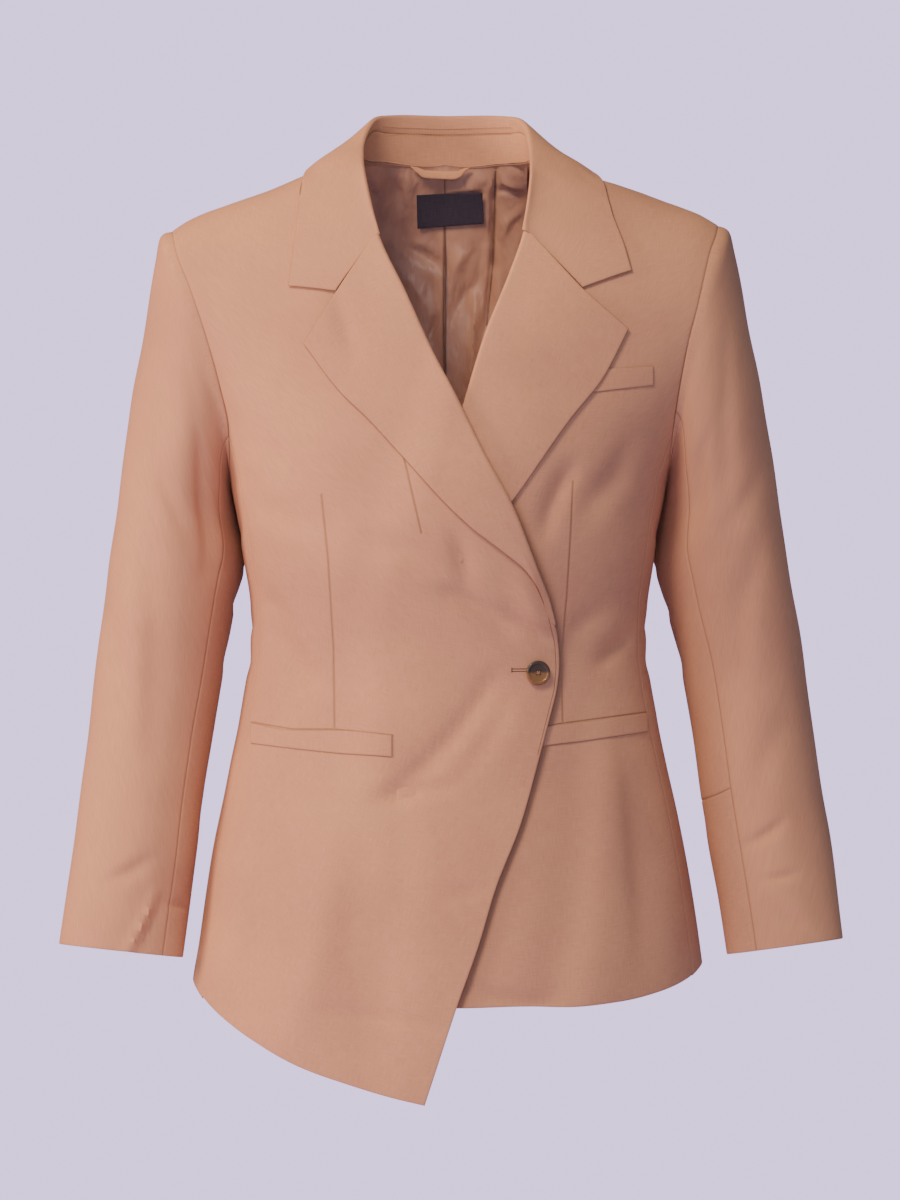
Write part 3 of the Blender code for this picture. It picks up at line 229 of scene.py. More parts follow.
LEFT_COLLAR_ROWS = (
    (0.0663, -0.078, -0.0487, 0.1533, -0.085, -0.082, 85, 0.0036),
    (0.07, -0.066, -0.0271, 0.147, -0.072, -0.06, 72, 0.004),
    (0.0721, -0.045, -0.0025, 0.138, -0.045, -0.037, 50, 0.004),
    (0.0722, -0.025, 0.01, 0.131, -0.022, -0.016, 28, 0.004),
    (0.0716, -0.004, 0.021, 0.1225, 0.004, -0.001, 10, 0.004),
    (0.069, 0.022, 0.035, 0.109, 0.038, -0.005, 0, 0.006),
    (0.06, 0.044, 0.0455, 0.086, 0.061, -0.0115, 0, 0.013),
    (0.035, 0.061, 0.048, 0.05, 0.0755, -0.013, 0, 0.0155),
    (0.0, 0.067, 0.047, 0.0, 0.081, -0.0125, 0, 0.0155),
)
ROLL_RADIUS = 0.0028
LEAF_BULGE = 0.0045
LEAF_OUT = 0.0031
LEAF_RISE = math.radians(14)
NOTCH_SHARE = 0.6
NOTCH_STATIONS = 1.6
STAND_START = 3.6
STAND_GAP = 0.0008
STAND_END_GAP = 0.0012
STAND_ANGLES = (-6, -2, 21, 39, 62, 90)
STAND_STATIONS = (3, 4, 5, 6, 7, 8)

# Sleeves: rings from the armhole to the cuff, by their outer and inner ends
SLEEVE_COLUMNS = (
    "along", "outer_x", "outer_z", "inner_x", "inner_z",
    "half_depth", "middle_y", "bow", "inner_back")
RIGHT_SLEEVE_ROWS = (
    (0.0, 0.2247, -0.049, 0.1765, -0.254, 0.065, 0.003, 0.0066, 0.0),
    (0.03, 0.2335, -0.0545, 0.1795, -0.258, 0.0655, 0.003, 0.0062, 0.002),
    (0.06, 0.2375, -0.072, 0.18, -0.263, 0.067, 0.003, 0.0058, 0.005),
    (0.11, 0.2427, -0.0984, 0.179, -0.27, 0.069, 0.004, 0.005, 0.009),
    (0.17, 0.2485, -0.1402, 0.177, -0.278, 0.0705, 0.005, 0.0035, 0.014),
    (0.24, 0.2572, -0.1845, 0.1745, -0.287, 0.0705, 0.006, 0.0015, 0.018),
    (0.31, 0.264, -0.228, 0.1715, -0.298, 0.069, 0.007, 0.0, 0.021),
    (0.39, 0.2706, -0.2829, 0.1668, -0.322, 0.0665, 0.008, 0.0, 0.022),
    (0.47, 0.279, -0.34, 0.1725, -0.356, 0.0635, 0.008, 0.0, 0.018),
    (0.55, 0.2875, -0.405, 0.1815, -0.41, 0.06, 0.008, 0.0, 0.01),
    (0.63, 0.2936, -0.4608, 0.1915, -0.464, 0.0565, 0.005, 0.0, 0.004),
    (0.71, 0.299, -0.505, 0.1985, -0.513, 0.0525, -0.001, 0.0, 0.0),
    (0.8, 0.3045, -0.545, 0.204, -0.557, 0.0475, -0.01, 0.0, 0.0),
    (0.9, 0.3105, -0.59, 0.2095, -0.603, 0.041, -0.02, 0.0, 0.0),
    (1.0, 0.3169, -0.6351, 0.2152, -0.6462, 0.035, -0.03, 0.0, 0.0),
)
LEFT_SLEEVE_ROWS = (
    (0.0, 0.2247, -0.0443, 0.1828, -0.254, 0.065, 0.003, 0.005, 0.0),
    (0.03, 0.2335, -0.05, 0.1858, -0.258, 0.0655, 0.003, 0.0048, 0.002),
    (0.06, 0.2382, -0.067, 0.1862, -0.263, 0.067, 0.003, 0.0044, 0.005),
    (0.11, 0.245, -0.0984, 0.1852, -0.27, 0.069, 0.004, 0.0038, 0.009),
    (0.17, 0.2523, -0.1402, 0.1832, -0.278, 0.0705, 0.005, 0.0028, 0.014),
    (0.24, 0.2608, -0.1845, 0.1808, -0.287, 0.0705, 0.006, 0.001, 0.018),
    (0.31, 0.2684, -0.228, 0.1778, -0.298, 0.069, 0.007, 0.0, 0.021),
    (0.39, 0.2765, -0.2829, 0.1735, -0.319, 0.0665, 0.008, 0.0, 0.022),
    (0.47, 0.2855, -0.34, 0.1805, -0.356, 0.0635, 0.008, 0.0, 0.018),
    (0.55, 0.296, -0.405, 0.1935, -0.405, 0.06, 0.008, 0.0, 0.01),
    (0.63, 0.3032, -0.462, 0.203, -0.46, 0.0565, 0.005, 0.0, 0.004),
    (0.71, 0.3105, -0.51, 0.2105, -0.513, 0.0525, -0.001, 0.0, 0.0),
    (0.8, 0.317, -0.548, 0.2165, -0.554, 0.0475, -0.01, 0.0, 0.0),
    (0.9, 0.3227, -0.59, 0.2245, -0.598, 0.041, -0.02, 0.0, 0.0),
    (1.0, 0.3272, -0.6306, 0.2312, -0.6437, 0.035, -0.03, 0.0, 0.0),
)
SLEEVE_SETTLES = 0.12
SLEEVE_LENGTH = 0.6
RIGHT_FRONT_SLEEVE_SEAM = 133
LEFT_FRONT_SLEEVE_SEAM = 120
BACK_SLEEVE_SEAM = 240
PIECING_SEAM = 0.7
PIECING_RISE = 0.02
PIECING_BEND = 4

# Folds: soft troughs and ridges between two points of a front
# Columns: x0, z0, x1, z1, half width, height
RIGHT_FOLD_ROWS = (
    (0.0287, -0.428, -0.0369, -0.511, 0.016, -0.0022),
    (0.001, -0.346, 0.049, -0.373, 0.01, -0.0016),
    (-0.135, -0.384, -0.116, -0.415, 0.014, -0.0022),
    (-0.052, -0.516, -0.002, -0.508, 0.009, -0.0014),
    (-0.1, -0.69, -0.115, -0.54, 0.026, 0.0022),
)
LEFT_FOLD_ROWS = (
    (0.086, -0.289, 0.101, -0.252, 0.013, -0.0024),
    (0.134, -0.402, 0.157, -0.381, 0.011, -0.0016),
    (0.125, -0.67, 0.13, -0.5, 0.022, 0.0024),
    (0.09, -0.67, 0.098, -0.5, 0.018, -0.002),
)

# Pockets, by their top and bottom edges from the centre out
WELT_COLUMNS = ("x", "top", "bottom")
RIGHT_WELT_ROWS = (
    (-0.0426, -0.4641, -0.4822),
    (-0.0902, -0.4592, -0.478),
    (-0.1246, -0.4592, -0.4745),
    (-0.1591, -0.4535, -0.4703),
)
LEFT_WELT_ROWS = (
    (0.05, -0.4605, -0.4765),
    (0.0845, -0.4559, -0.4718),
    (0.125, -0.4506, -0.4665),
    (0.166, -0.4453, -0.4608),
)
CHEST_WELT_ROWS = (
    (0.108, -0.1636, -0.1846),
    (0.1312, -0.1628, -0.1815),
    (0.1706, -0.1607, -0.1767),
)

# Trim
BUTTON_X = 0.0744
BUTTON_Z = -0.4119
BUTTON_RADIUS = 0.01
BUTTON_OUT = 0.0012
LINING_BEHIND = 0.0044
LINING_LOW = 0.262
LINING_HALF = 0.098
LABEL_CORNERS = ((-0.0246, -0.014), (0.0322, -0.0117), (0.033, -0.0386), (-0.0234, -0.0432))
LABEL_THICK = 0.0006
LABEL_WIDE = 0.057
LABEL_HIGH = 0.028
LABEL_STEP = 0.003
LABEL_STITCH = 0.0008
LABEL_STITCH_PITCH = 0.0018
LABEL_STITCH_IN = 0.0012
LOOP_TOP = 0.0074
LOOP_LOW = -0.0046
LOOP_THICK = 0.0014
LOOP_WIDE = 0.05
LOOP_HIGH = 0.009
LOOP_STEP = 0.002
LOOP_LEAN = 0.0045
LOOP_FORWARD = 0.0021

# Steps for slopes, and the armhole's place on the panels
NEAR = 0.0002
NEAR_TURN = 0.005
NEAR_ALONG = 0.002
SLEEVE_NEAR = 0.03
SIDE_TURN = 133
BACK_COLUMNS = 10
NECK_COLUMNS = 5
NECK_FADE = 6

# Creases, finer than the folds, between two points of a panel
# Columns: across 0, up 0, across 1, up 1, half width, height, lean, bow
RIGHT_FRONT_CREASES = (
    (0.009, -0.302, 0.016, -0.337, 0.007, -0.0012, 0.3, 0.001),
    (-0.054, -0.306, -0.02, -0.324, 0.009, -0.001, 0.0, 0.003),
    (0.006, -0.348, 0.056, -0.376, 0.005, -0.001, 0.4, 0.002),
    (0.064, -0.338, 0.085, -0.379, 0.0085, 0.0013, 0.0, -0.002),
    (0.05, -0.361, 0.089, -0.385, 0.0042, -0.0012, 0.3, -0.003),
    (-0.095, -0.69, 0.002, -0.7045, 0.004, -0.0007, 0.4, 0.001),
    (0.023, -0.366, 0.058, -0.39, 0.005, -0.0007, 0.2, 0.002),
    (0.038, -0.418, -0.04, -0.508, 0.008, -0.0012, 0.4, 0.006),
    (0.052, -0.43, 0.012, -0.498, 0.009, -0.0008, 0.0, 0.004),
    (-0.054, -0.5165, 0.002, -0.5078, 0.004, -0.0009, 0.3, 0.001),
    (0.001, -0.594, 0.031, -0.5925, 0.0035, -0.0007, 0.3, 0.0),
    (-0.139, -0.38, -0.113, -0.42, 0.007, -0.001, 0.4, 0.002),
    (-0.156, -0.35, -0.13, -0.37, 0.009, -0.0009, 0.0, 0.002),
    (-0.16, -0.265, -0.105, -0.29, 0.015, -0.0012, 0.3, -0.006),
    (-0.15, -0.225, -0.118, -0.26, 0.011, -0.0009, 0.0, 0.004),
    (-0.089, -0.103, -0.076, -0.148, 0.008, -0.0008, 0.0, 0.0),
    (-0.08, -0.52, -0.125, -0.71, 0.018, 0.0012, 0.0, 0.006),
    (-0.035, -0.55, -0.045, -0.73, 0.02, -0.0012, 0.0, -0.005),
    (-0.145, -0.53, -0.17, -0.68, 0.015, -0.0014, 0.3, 0.004),
)
LEFT_FRONT_CREASES = (
    (0.084, -0.296, 0.103, -0.248, 0.0075, -0.0015, 0.4, 0.002),
    (0.112, -0.29, 0.138, -0.25, 0.012, -0.0009, 0.0, 0.004),
    (0.13, -0.404, 0.16, -0.379, 0.006, -0.0011, 0.3, 0.002),
    (0.102, -0.385, 0.13, -0.36, 0.009, -0.0008, 0.0, 0.002),
    (0.112, -0.455, 0.108, -0.62, 0.016, -0.0012, 0.0, 0.004),
    (0.15, -0.48, 0.164, -0.64, 0.014, -0.0014, 0.3, 0.003),
    (0.02, -0.669, 0.088, -0.682, 0.006, -0.0009, 0.3, -0.004),
    (0.15, -0.23, 0.125, -0.275, 0.01, -0.001, 0.0, 0.003),
)
BACK_CREASES = (
    (-0.145, -0.23, -0.07, -0.3, 0.013, -0.0018, 0.3, 0.008),
    (0.15, -0.225, 0.08, -0.29, 0.012, -0.0016, 0.3, -0.008),
    (-0.125, -0.355, -0.045, -0.385, 0.009, -0.0014, 0.3, 0.004),
    (0.13, -0.36, 0.035, -0.38, 0.008, -0.0015, 0.3, -0.004),
    (-0.06, -0.4, 0.05, -0.406, 0.01, -0.001, 0.0, 0.003),
    (-0.095, -0.47, -0.105, -0.64, 0.02, -0.002, 0.0, 0.004),
    (0.09, -0.48, 0.102, -0.645, 0.02, -0.0018, 0.0, -0.004),
    (-0.035, -0.49, -0.04, -0.65, 0.018, 0.0014, 0.0, 0.002),
    (0.042, -0.5, 0.045, -0.65, 0.018, 0.0014, 0.0, -0.002),
    (-0.045, -0.05, -0.06, -0.12, 0.016, -0.0012, 0.0, 0.003),
    (0.05, -0.055, 0.062, -0.125, 0.016, -0.0012, 0.0, -0.003),
)
SIDE_CREASES = (
    (-0.035, -0.29, 0.02, -0.31, 0.008, -0.0012, 0.3, 0.002),
    (-0.04, -0.37, 0.03, -0.383, 0.007, -0.0014, 0.3, 0.002),
    (-0.03, -0.41, 0.04, -0.4, 0.008, -0.0011, 0.0, 0.002),
    (0.0, -0.47, 0.01, -0.63, 0.016, -0.0016, 0.0, 0.003),
)

# A sleeve's creases, with the share along it and the turn round it in degrees
# Columns: along 0, turn 0, along 1, turn 1, half width, height, lean, bow
RIGHT_SLEEVE_CREASES = (
    (0.17, 104, 0.42, 119, 0.009, -0.0022, 0.4, 0.002),
    (0.15, 78, 0.34, 92, 0.015, 0.001, 0.0, 0.003),
    (0.24, 122, 0.4, 130, 0.006, 0.001, 0.0, 0.001),
    (0.3, 60, 0.38, 96, 0.01, -0.0012, 0.3, 0.004),
    (0.44, 68, 0.64, 93, 0.015, -0.0017, 0.3, 0.005),
    (0.5, 20, 0.58, 58, 0.012, -0.0012, 0.0, 0.004),
    (0.83, 102, 0.87, 73, 0.007, -0.0015, 0.3, 0.002),
    (0.885, 115, 1.0, 97, 0.0045, 0.0015, 0.0, 0.001),
    (0.9, 122, 1.0, 106, 0.005, -0.0012, 0.0, 0.001),
    (0.905, 132, 0.905, 165, 0.004, -0.001, 0.3, 0.001),
    (0.4, 180, 0.47, 232, 0.009, -0.0014, 0.4, 0.004),
    (0.47, 176, 0.5, 236, 0.008, -0.0014, 0.4, 0.003),
    (0.54, 182, 0.55, 240, 0.009, -0.0012, 0.3, -0.003),
    (0.43, -110, 0.5, -60, 0.011, -0.0011, 0.3, 0.005),
    (0.56, -110, 0.52, -55, 0.01, -0.0009, 0.3, -0.004),
    (0.14, 212, 0.3, 236, 0.012, -0.0014, 0.3, 0.004),
    (0.75, 190, 0.9, 236, 0.011, -0.0007, 0.0, 0.004),
)
LEFT_SLEEVE_CREASES = (
    (0.14, 60, 0.36, 84, 0.013, -0.0012, 0.3, 0.004),
    (0.2, 100, 0.36, 110, 0.009, -0.0015, 0.3, 0.002),
    (0.44, 63, 0.54, 93, 0.013, -0.0019, 0.3, 0.004),
    (0.34, 50, 0.4, 84, 0.012, -0.001, 0.0, 0.003),
    (0.62, 60, 0.7, 95, 0.012, -0.001, 0.0, 0.003),
    (0.8, 109, 0.762, 78, 0.0055, -0.0014, 0.3, 0.002),
    (0.868, 98, 0.862, 72, 0.004, -0.001, 0.3, 0.001),
    (0.92, 96, 0.97, 66, 0.008, -0.0009, 0.0, 0.002),
    (0.41, 180, 0.48, 232, 0.009, -0.0014, 0.4, 0.004),
    (0.48, 176, 0.51, 236, 0.008, -0.0013, 0.4, 0.003),
    (0.55, 182, 0.56, 240, 0.009, -0.0012, 0.3, -0.003),
    (0.44, -110, 0.51, -60, 0.011, -0.0011, 0.3, 0.005),
    (0.57, -110, 0.53, -55, 0.01, -0.0009, 0.3, -0.004),
    (0.15, 212, 0.3, 236, 0.012, -0.0013, 0.3, 0.004),
    (0.76, 190, 0.9, 236, 0.011, -0.0007, 0.0, 0.004),
)
LINING_CREASES = (
    (0.042, 0.002, 0.04, -0.02, 0.002, -0.0036, 0.4, 0.001),
    (0.041, -0.016, 0.0395, -0.076, 0.0034, -0.004, 0.4, 0.0),
    (0.0396, -0.07, 0.034, -0.127, 0.0034, -0.003, 0.4, 0.0),
    (0.048, 0.001, 0.064, -0.007, 0.0035, 0.003, 0.3, -0.003),
    (0.056, 0.006, 0.068, -0.002, 0.0022, -0.0026, 0.3, 0.002),
    (0.046, -0.012, 0.06, -0.015, 0.0035, -0.0024, 0.3, 0.002),
    (0.05, -0.048, 0.062, -0.03, 0.004, 0.0022, 0.3, 0.002),
    (0.003, -0.013, 0.03, -0.011, 0.0035, 0.002, 0.3, 0.002),
    (0.027, -0.03, 0.036, -0.005, 0.004, -0.0018, 0.3, 0.002),
    (0.024, -0.1, 0.019, -0.17, 0.0026, 0.0022, 0.5, 0.002),
    (0.006, -0.09, 0.018, -0.062, 0.006, 0.0024, 0.3, 0.002),
    (0.008, -0.118, 0.024, -0.09, 0.0045, -0.002, 0.3, 0.001),
    (0.03, -0.06, 0.026, -0.1, 0.006, -0.0022, 0.3, 0.002),
    (-0.042, -0.042, -0.004, -0.074, 0.008, -0.0034, 0.4, -0.004),
    (-0.03, -0.056, -0.008, -0.064, 0.005, 0.002, 0.3, 0.002),
    (-0.013, -0.136, -0.005, -0.116, 0.0026, -0.0024, 0.4, 0.0),
    (-0.033, -0.085, -0.014, -0.115, 0.006, 0.0018, 0.3, 0.003),
    (-0.06, -0.003, -0.052, -0.03, 0.0045, 0.0024, 0.3, 0.002),
    (-0.048, 0.001, -0.04, -0.02, 0.005, -0.0024, 0.3, 0.002),
    (-0.034, -0.002, -0.028, -0.026, 0.005, 0.002, 0.3, -0.002),
    (0.055, -0.07, 0.07, -0.16, 0.007, 0.002, 0.3, 0.003),
)

# How far the creases stand out, and how they fade by a seam
CREASE_GAIN = 3.0
SLEEVE_GAIN = 2.3
CREASE_FADE = 0.012

# A slow, small waviness of all the cloth
# Columns: wave numbers along x, y and z, phase, height
WAVES = (
    (52.0, 18.0, 31.0, 0.4, 0.00022),
    (-37.0, 25.0, 58.0, 2.1, 0.00018),
    (71.0, -33.0, -22.0, 4.0, 0.00014),
    (24.0, 47.0, -79.0, 1.2, 0.00013),
    (-88.0, 20.0, 41.0, 5.2, 0.00009),
    (33.0, -61.0, 96.0, 3.3, 0.00008),
)

# Borders of a panel, and the steps close by them
ALL_ROUND = ("start", "end", "bottom", "top")
BORDER = (0.0, 0.0001, 0.0003, 0.0007, 0.0013, 0.0022, 0.0038)
SHOULDER_DROPS = (0.0012, 0.0008, 0.0005, 0.0003, 0.00018, 0.0001, 0.00005, 0.00002, 0.000008, 0.0)
EDGE_WIDTH = 0.0016
EDGE_SHARE = 0.46
SEAM_WIDTH = 0.001
SEAM_DEPTH = 0.00055
# The width of the thin dark line along seams, and of the painted shade along free edges
SEAM_AND_SHADE_LINE_WIDTH = 0.0006
FACING_WIDTH = 0.085
TURN_UP = 0.036
HEM_EASE = 1.6

# The sleeve's set at the armhole, and its tuck under the arm
SLEEVE_SEAM_SHIFT = -0.0002
SLEEVE_RADIUS_MEAN = 0.055
HEAD_ROLL = 0.001
HEAD_ROLL_AT = 0.012
TUCK_IN = 0.0056
TUCK_BACK = 0.02
TUCK_BEGINS = 0.035
TUCK_ENDS = (0.33, 0.46)


def sewn(half_width, *points):
    """Give the pieces of a line through points x, z, as x0, z0, x1, z1, half width; the lines are
    sewn lines and lines of painted shade.
    """
    return tuple((*start, *end, half_width) for start, end in zip(points, points[1:]))


# Lines seen from the front, pressed and darkened into the cloth: darts, the lap's edge, and
# painted shade along the tops of the welts where the pockets' mouths open
RIGHT_FRONT_LINES = (
    sewn(0.0009, (-0.1009, -0.2665), (-0.0955, -0.319), (-0.091, -0.392),
         (-0.0902, -0.4592))
    + sewn(0.0009, (-0.0336, -0.2345), (-0.0189, -0.2977))
    # Painted shade of the pocket's mouth, along the welt's top
    + sewn(0.0007, (-0.1591, -0.453), (-0.1246, -0.4586), (-0.0902, -0.4586),
           (-0.0426, -0.4636))
    + sewn(0.0003, (0.0675, -0.323), (0.0838, -0.362), (0.0902, -0.3895),
           (0.0911, -0.408), (0.0896, -0.426), (0.0762, -0.4789)))
LEFT_FRONT_LINES = (
    sewn(0.0009, (0.105, -0.2558), (0.1033, -0.2977), (0.1, -0.3501),
         (0.0951, -0.4026), (0.0968, -0.454))
    # Painted shade of the pocket's mouth, along the welt's top
    + sewn(0.0007, (0.05, -0.46), (0.0845, -0.4554), (0.125, -0.4501),
           (0.166, -0.4448)))
# Painted shadow of the lap: soft dark lines in the left front's colour, beside the right front's
# edge
LAP_SHADE_OUT = 0.002
LAP_SHADE_WIDTH = 0.0042
LAP_SHADE_TOP = -0.27
LAP_SHADE_LOW = -0.7
LOOP_LINES = sewn(0.0007, (-0.017, 0.0026), (0.011, 0.002))
# Painted shadow along the folds of the lining's pleats, as dark lines in the satin
PLEAT_SHADOW_LINES = (
    sewn(0.0005, (-0.0002, 0.0), (-0.0002, -0.017))
    + sewn(0.0013, (-0.0004, -0.044), (-0.0012, -0.118), (-0.0002, -0.176))
    + sewn(0.001, (0.0416, 0.001), (0.041, -0.03))
    + sewn(0.0013, (0.041, -0.03), (0.0395, -0.075))
    + sewn(0.0008, (0.0395, -0.075), (0.0345, -0.125)))
BACK_LINES = (
    sewn(0.0009, (-0.09, -0.23), (-0.083, -0.39), (-0.09, -0.56))
    + sewn(0.0009, (0.09, -0.23), (0.083, -0.39), (0.09, -0.56)))

# Parts drawn finer than the frame's: lapels, collar, stand, welts, lining and trim
CURL_STEPS = 13
ARC_STEPS = 13
COLLAR_STATIONS = 33
NOTCH_AT = 0.54
LEAF_START = 0.02
RIDGE_NEAR = 0.0004
HUG_BELOW = 0.022
ROLL_SMOOTHED = 8
ROLL_BLEND = 9
LAPEL_LIES = 0.0032
LAPEL_LOW = 0.0007
LAPEL_TAPER = 0.06
ROLL_INSET_LOW = 0.0015
ROLL_INSET_FADE = 0.006
GORGE_CLOSED = 0.0003
STAND_CLOSED = 0.25
STAND_SUNK = 0.0004
SEAM_CLOSED = 0.0001
WELT_STEP = 0.003
WELT_WIDE = 0.1
WELT_HIGH = 0.017
LAPEL_STEP = 0.0036
LABEL_LIES = 0.0024
LOOP_ROUND = 0.0008
WELT_THICK = 0.001
WELT_LIES = 0.0001
LINING_STEP = 0.0014
LINING_DEEPEST = -0.004
LINING_TOP_HALF = 0.068
LINING_SEWN_FORWARD = 0.0016
LINING_SEWN_UP = 0.0004
LINING_SEWN_RUN = 0.006
PLEAT_COLUMNS = (0.0, 0.0002, 0.0005, 0.0009, 0.0014, 0.0021, 0.003, 0.0042)
KNIFE_DEPTH = 0.0042
KNIFE_TOP = 0.14
KNIFE_WIDTH = 0.011
KNIFE_EDGE = 0.00035
# Columns: x, top, bottom
LOOP_ROWS = (
    (-0.0283, 0.0056, 0.004),
    (-0.023, 0.005, -0.0005),
    (-0.0172, 0.003, -0.0044),
    (-0.006, 0.0022, -0.0052),
    (0.0066, 0.0022, -0.0057),
    (0.012, 0.0028, -0.0044),
    (0.0165, 0.0044, 0.0005),
    (0.0203, 0.0048, 0.0034),
)
BUTTON_THICK = 0.003
BUTTON_RIM = 0.0022
BUTTON_DISH = 0.0007
HOLE_RADIUS = 0.00085
HOLE_OUT = 0.0019
THREAD = 0.00028
STITCH_LENGTH = 0.0014
STITCH_THICK = 0.00055
STITCH_PITCH = 0.0024
STITCH_STATION = 6.1
STITCH_LIFT = 0.55
COLLAR_STITCH_UP = 0.0043
STAND_STITCH_DOWN = 0.0008
BUTTONHOLE_START = 0.0541
BUTTONHOLE_END = 0.0662
BUTTONHOLE_TOP = -0.4087
BUTTONHOLE_LOW = -0.4108

# Finishes
DRIFT_SCALE = 9.0
THREAD_PITCH = 0.0005
SLUB_LENGTH = 0.012
WEAVE_HEIGHT = 0.00006
LINE_DEPTH = 0.00045
# LINE_SHADE and LINE_COLOUR: the darkening of lines and seams in the suiting; a dark joint at
# seams and darts, painted shade along free edges, the pockets' mouths and the lap
LINE_SHADE = 0.55
# PLEAT_SHADE and PLEAT_COLOUR: the painted shadow along the folds of the lining's pleats
PLEAT_SHADE = 0.75
LINE_COLOUR = 0.35
PLEAT_COLOUR = 0.12
HORN_EDGE = 500.0
# The collar's dark thread: partly the thread's colour, partly painted shade of the stitch holes
DARK_THREAD = 0.45
HOLE_THREAD = 0.5
PALE_THREAD = 1.4
SATIN_ROUGHNESS = 0.3
RUMPLE_SCALE = 70.0
RUMPLE_HEIGHT = 0.003

# Studio
CAMERA_AWAY = 20.0
CAMERA_AT = (0.0041, -0.3526)
FRAME_HEIGHT = 0.984
SENSOR = 36.0
FRONT_PLANE = -0.07
FLOOR_RADIUS = 25.0
SKY_STRENGTH = 0.31
BACKDROP_STRENGTH = 1.914
LAMP_AIM = (0.0, 0.0, -0.35)
# Columns: name, place, size, power, tint
LAMPS = (
    ("side_light", (-2.591, -0.943, 0.136), 0.8, 62.0, (1.0, 0.592, 0.37)),
    ("high_light", (-0.99, -1.715, 1.63), 0.9, 68.5, (1.0, 0.604, 0.32)),
    ("front_light", (0.0, -2.757, 0.136), 1.4, 21.0, (0.66, 0.59, 0.64)),
)


class Curve:
    """A smooth curve through table values, with no overshoot between them."""

    def __init__(self, xs, ys):
        order = np.argsort(xs)
        self.x = np.asarray(xs, float)[order]
        self.y = np.asarray(ys, float)[order]
        step = np.diff(self.x)
        rise = np.diff(self.y) / step
        self.slope = np.zeros(len(self.x))
        self.slope[0] = rise[0]
        self.slope[-1] = rise[-1]
        turning = rise[:-1] * rise[1:] <= 0
        before = np.where(turning, 1.0, rise[:-1])
        after = np.where(turning, 1.0, rise[1:])
        heavy = 2 * step[1:] + step[:-1]
        light = step[1:] + 2 * step[:-1]
        mean = (heavy + light) / (heavy / before + light / after)
        self.slope[1:-1] = np.where(turning, 0.0, mean)

    def __call__(self, x):
        x = np.clip(x, self.x[0], self.x[-1])
        k = np.clip(np.searchsorted(self.x, x) - 1, 0, len(self.x) - 2)
        step = self.x[k + 1] - self.x[k]
        t = (x - self.x[k]) / step
        start = self.y[k] * (1 + 2 * t) * (1 - t) ** 2 + self.slope[k] * step * t * (1 - t) ** 2
        end = self.y[k + 1] * t * t * (3 - 2 * t) + self.slope[k + 1] * step * t * t * (t - 1)
        return start + end


def curves(names, rows):
    """Make a curve of every column against the first one."""
    values = list(zip(*rows))
    return {name: Curve(values[0], values[i + 1]) for i, name in enumerate(names[1:])}


def smoothstep(x, low, high):
    t = np.clip((x - low) / (high - low), 0.0, 1.0)
    return t * t * (3 - 2 * t)


def joined(*parts):
    return np.stack(parts, axis=-1)


def unit(vectors):
    length = np.linalg.norm(vectors, axis=-1, keepdims=True)
    return vectors / np.maximum(length, 1e-12)


BODY = curves(BODY_COLUMNS, BODY_ROWS)
SHOULDER = curves(SHOULDER_COLUMNS, SHOULDER_ROWS)
EDGE = {
    RIGHT: curves(EDGE_COLUMNS, RIGHT_EDGE_ROWS)["x"],
    LEFT: curves(EDGE_COLUMNS, LEFT_EDGE_ROWS)["x"],
}
HEM = {
    RIGHT: curves(HEM_COLUMNS, RIGHT_HEM_ROWS)["z"],
    LEFT: curves(HEM_COLUMNS, LEFT_HEM_ROWS)["z"],
}
LAPEL_EDGE = {
    RIGHT: curves(EDGE_COLUMNS, RIGHT_LAPEL_ROWS)["x"],
    LEFT: curves(EDGE_COLUMNS, LEFT_LAPEL_ROWS)["x"],
}
SLEEVE = {
    RIGHT: curves(SLEEVE_COLUMNS, RIGHT_SLEEVE_ROWS),
    LEFT: curves(SLEEVE_COLUMNS, LEFT_SLEEVE_ROWS),
}
FOLDS = {RIGHT: RIGHT_FOLD_ROWS, LEFT: LEFT_FOLD_ROWS}
FRONT_CREASES = {RIGHT: RIGHT_FRONT_CREASES, LEFT: LEFT_FRONT_CREASES}
SLEEVE_CREASES = {RIGHT: RIGHT_SLEEVE_CREASES, LEFT: LEFT_SLEEVE_CREASES}
STAND_ANGLE = Curve(STAND_STATIONS, STAND_ANGLES)


# The torso's surface

def shoulder_height(x):
    """Give the height of the shoulder line above a place across the body."""
    out = np.abs(x)
    return np.where(x < 0, SHOULDER["right"](out), SHOULDER["left"](out))


def drop_at(x, z):
    top = shoulder_height(x) + UNDERARM
    return np.where(z < -UNDERARM, -z, UNDERARM - (z + UNDERARM) * UNDERARM / top)


def height_at(x, drop):
    top = shoulder_height(x) + UNDERARM
    return np.where(drop > UNDERARM, -drop, -UNDERARM + (UNDERARM - drop) * top / UNDERARM)


def side_width(side, drop):
    return BODY["right" if side == RIGHT else "left"](drop)


def body_depth(face, drop):
    return BODY["front" if face == FRONT else "back"](drop)


def armhole_reach(face, drop):
    """Give the armhole's depth at a drop, as a share of the torso's depth there."""
    widest = ARMHOLE_FRONT if face == FRONT else ARMHOLE_BACK
    height = np.clip(2 * drop / UNDERARM - 1, -1.0, 1.0)
    depth = widest * np.sqrt(1 - height ** 2)
    return np.clip(depth / np.maximum(body_depth(face, drop), 1e-4), 0.0, 0.9)


def half_width(side, face, drop):
    """Give the oval's half width, so that it runs through the armhole's edge."""
    share = (1 - armhole_reach(face, drop) ** SQUARENESS) ** (1 / SQUARENESS)
    return side_width(side, drop) / share


